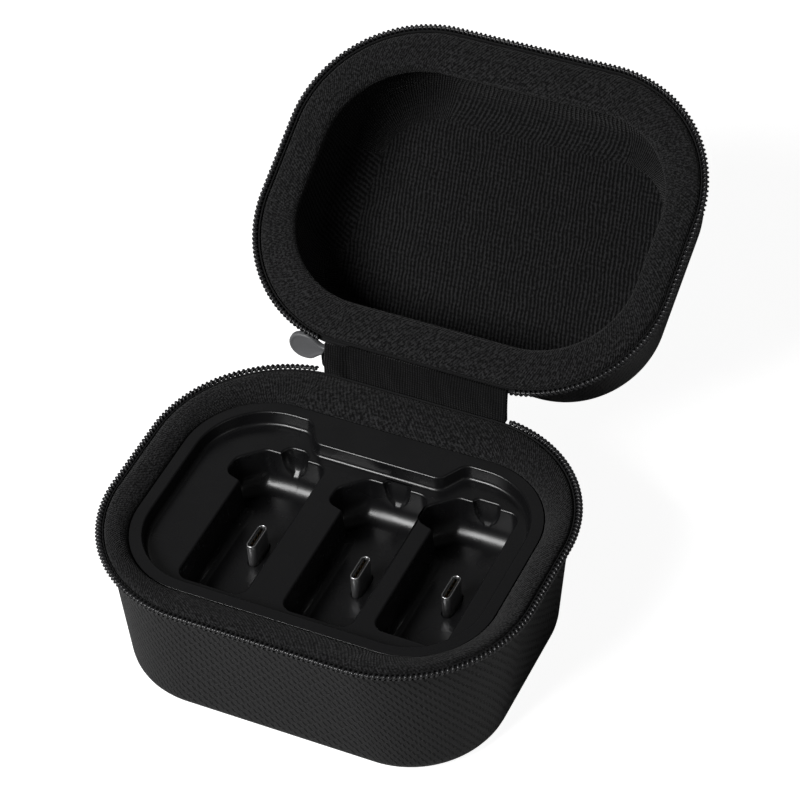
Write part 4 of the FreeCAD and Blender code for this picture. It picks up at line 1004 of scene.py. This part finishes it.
tab_grey = moulded("tab_grey", (0.11, 0.112, 0.116), (0.14, 0.142, 0.147), 0.42, 0.52, 0.02 * MM)
tab_half = [(TAB_LOW[0], TAB_HEAD), (TAB_SHOULDER, TAB_HEAD), (TAB_WAIST, TAB_NECK), (TAB_END, TAB_NECK)]
tab_corners = np.array([(x, -z) for x, z in tab_half] + tab_half[::-1])
tab_radii = np.array([4.1, 3.6, 3.0, 0.2, 0.2, 3.0, 3.6, 4.1]) * MM
soft, sink = quarter(TAB_ROUND)
face_insets = np.concatenate([[1.25 * MM, 1.15 * MM, 0.75 * MM, 0.55 * MM], soft])
face_drops = np.concatenate([[0.22 * MM, 0.20 * MM, 0.02 * MM, 0.0], sink])
tab_insets = np.concatenate([face_insets, face_insets[::-1]])
tab_offsets = np.concatenate([TAB_THICK / 2 - face_drops, face_drops[::-1] - TAB_THICK / 2])
tab = Pattern()
tab_rings = stacked([fillet_outline(tab_corners, tab_radii, inset) for inset in tab_insets], tab_offsets)
tab_x, tab_z, tab_y = np.moveaxis(tab_rings, -1, 0)
tab_rings = np.stack([tab_x, TAB_PIVOT_Y + tab_y, TAB_MIDDLE_Z + tab_z], -1)
tab.grid(tab_rings)
tab.face([tab_rings[0]], 1)
tab.face([tab_rings[-1]], 1)
turn = np.arange(28) / 28 * 2 * math.pi
sleeve_out = TAB_THICK / 2
sleeve_end = sleeve_out - SLEEVE_ROUND
sleeve_radius = np.array([sleeve_end, sleeve_out, sleeve_out, sleeve_end, TAB_BORE, TAB_BORE])
sleeve_level = np.array([-1, -0.9, 0.9, 1, 1, -1]) * TAB_NECK
sleeve = np.stack(np.broadcast_arrays(TAB_PIVOT_X + sleeve_radius[:, None] * np.cos(turn),
                                      TAB_PIVOT_Y + sleeve_radius[:, None] * np.sin(turn),
                                      TAB_MIDDLE_Z + sleeve_level[:, None]), -1)
tab.grid(sleeve, looped=True)
tab.make("moulded_pull_tab", tab_grey, "pull_tab", "pull_plastic", "zip_pull_tab")


# ---------------------------------------------------------------- cast and moulded small parts
# The slider, the inlet's bezel and the small parts keep their solid shapes; their edges are
# eased, and each gets its own plastic, metal or laminate.
slider_black = moulded("slider_black", (0.020, 0.020, 0.021), (0.034, 0.034, 0.036), 0.26, 0.40, 0.006 * MM,
                       Metallic=1.0)
bezel_satin = moulded("bezel_satin", (0.010, 0.010, 0.011), (0.014, 0.014, 0.015), 0.36, 0.44, 0.012 * MM)
insert_black = moulded("insert_black", (0.006, 0.006, 0.006), (0.010, 0.010, 0.010), 0.40, 0.50, 0.004 * MM)
gilt = moulded("gilt", (0.50, 0.36, 0.18), (0.60, 0.44, 0.24), 0.22, 0.34, 0.003 * MM, Metallic=1.0)
light_lens = moulded("light_lens", (0.30, 0.31, 0.31), (0.36, 0.37, 0.37), 0.20, 0.30, 0.004 * MM,
                     Transmission_Weight=0.4)


def softened(node, name, material, body, width):
    """A copy of a solid with its facets joined and its sharp edges eased."""
    mesh = bpy.data.objects[node].data.copy()
    shape = bmesh.new()
    shape.from_mesh(mesh)
    bmesh.ops.remove_doubles(shape, verts=shape.verts, dist=0.001 * MM)
    bmesh.ops.dissolve_limit(shape, angle_limit=math.radians(1), verts=shape.verts, edges=shape.edges)
    shape.to_mesh(mesh)
    shape.free()
    mesh.materials.clear()
    mesh.materials.append(material)
    mesh.shade_smooth()
    piece = bpy.data.objects.new(name, mesh)
    scene.collection.objects.link(piece)
    ease = piece.modifiers.new("eased edges", "BEVEL")
    ease.width, ease.segments, ease.limit_method, ease.angle_limit = width, 2, "ANGLE", math.radians(35)
    ease.harden_normals = True
    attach(piece, body)
    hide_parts(node)


softened("zip_slider", "cast_slider", slider_black, "base", 0.25 * MM)
softened("inlet_bezel", "moulded_bezel", bezel_satin, "base", 0.25 * MM)
for number, *_ in BAYS:
    softened("plug_insert_" + number, "moulded_insert_" + number, insert_black, "base",
             0.05 * MM)
softened("inlet_tongue", "moulded_tongue", insert_black, "base", 0.05 * MM)
softened("inlet_shell", "drawn_inlet_shell", plug_steel, "base", 0.06 * MM)

laminate = moulded("green_laminate", (0.006, 0.035, 0.014), (0.010, 0.060, 0.024), 0.30, 0.40, 0.010 * MM)
pouch = moulded("cell_pouch", (0.52, 0.53, 0.54), (0.62, 0.63, 0.64), 0.28, 0.42, 0.05 * MM, Metallic=0.9)
pad_foam = moulded("pad_foam", (0.020, 0.020, 0.021), (0.045, 0.045, 0.047), 0.88, 0.96, 0.08 * MM)
shell_foam = moulded("shell_foam", (0.022, 0.022, 0.023), (0.040, 0.040, 0.042), 0.86, 0.95, 0.08 * MM)
chip_black = moulded("chip_black", (0.012, 0.012, 0.013), (0.020, 0.020, 0.021), 0.45, 0.60, 0.010 * MM)
screw_steel = moulded("screw_steel", (0.35, 0.35, 0.36), (0.48, 0.48, 0.49), 0.26, 0.38, 0.004 * MM,
                      Metallic=1.0)
base_knit = knit_material("base_knit", (0.004, 0.004, 0.005), (0.03, 0.03, 0.032), 0.9, 0.25, 0.9, 0.12 * MM)

FINISHES = {
    shell_foam: ("base_foam_shell", "lid_foam_shell"),
    base_knit: ("base_lining",),
    bezel_satin: ("tray_bottom_pan",),
    laminate: ("main_board", "plug_board_one", "plug_board_two", "plug_board_three"),
    pouch: ("battery_cell",),
    pad_foam: ("battery_pad",),
    chip_black: ("charge_controller", "power_inductor", "boost_converter", "storage_capacitor",
                 "board_headers"),
    plug_steel: ("cell_tabs",),
    gilt: ("plug_contacts",),
    screw_steel: ("tray_screws",),
    light_lens: ("status_light_pipe", "status_led"),
}
for material, nodes in FINISHES.items():
    for node in nodes:
        for place in bpy.data.objects[node].material_slots:
            place.material = material
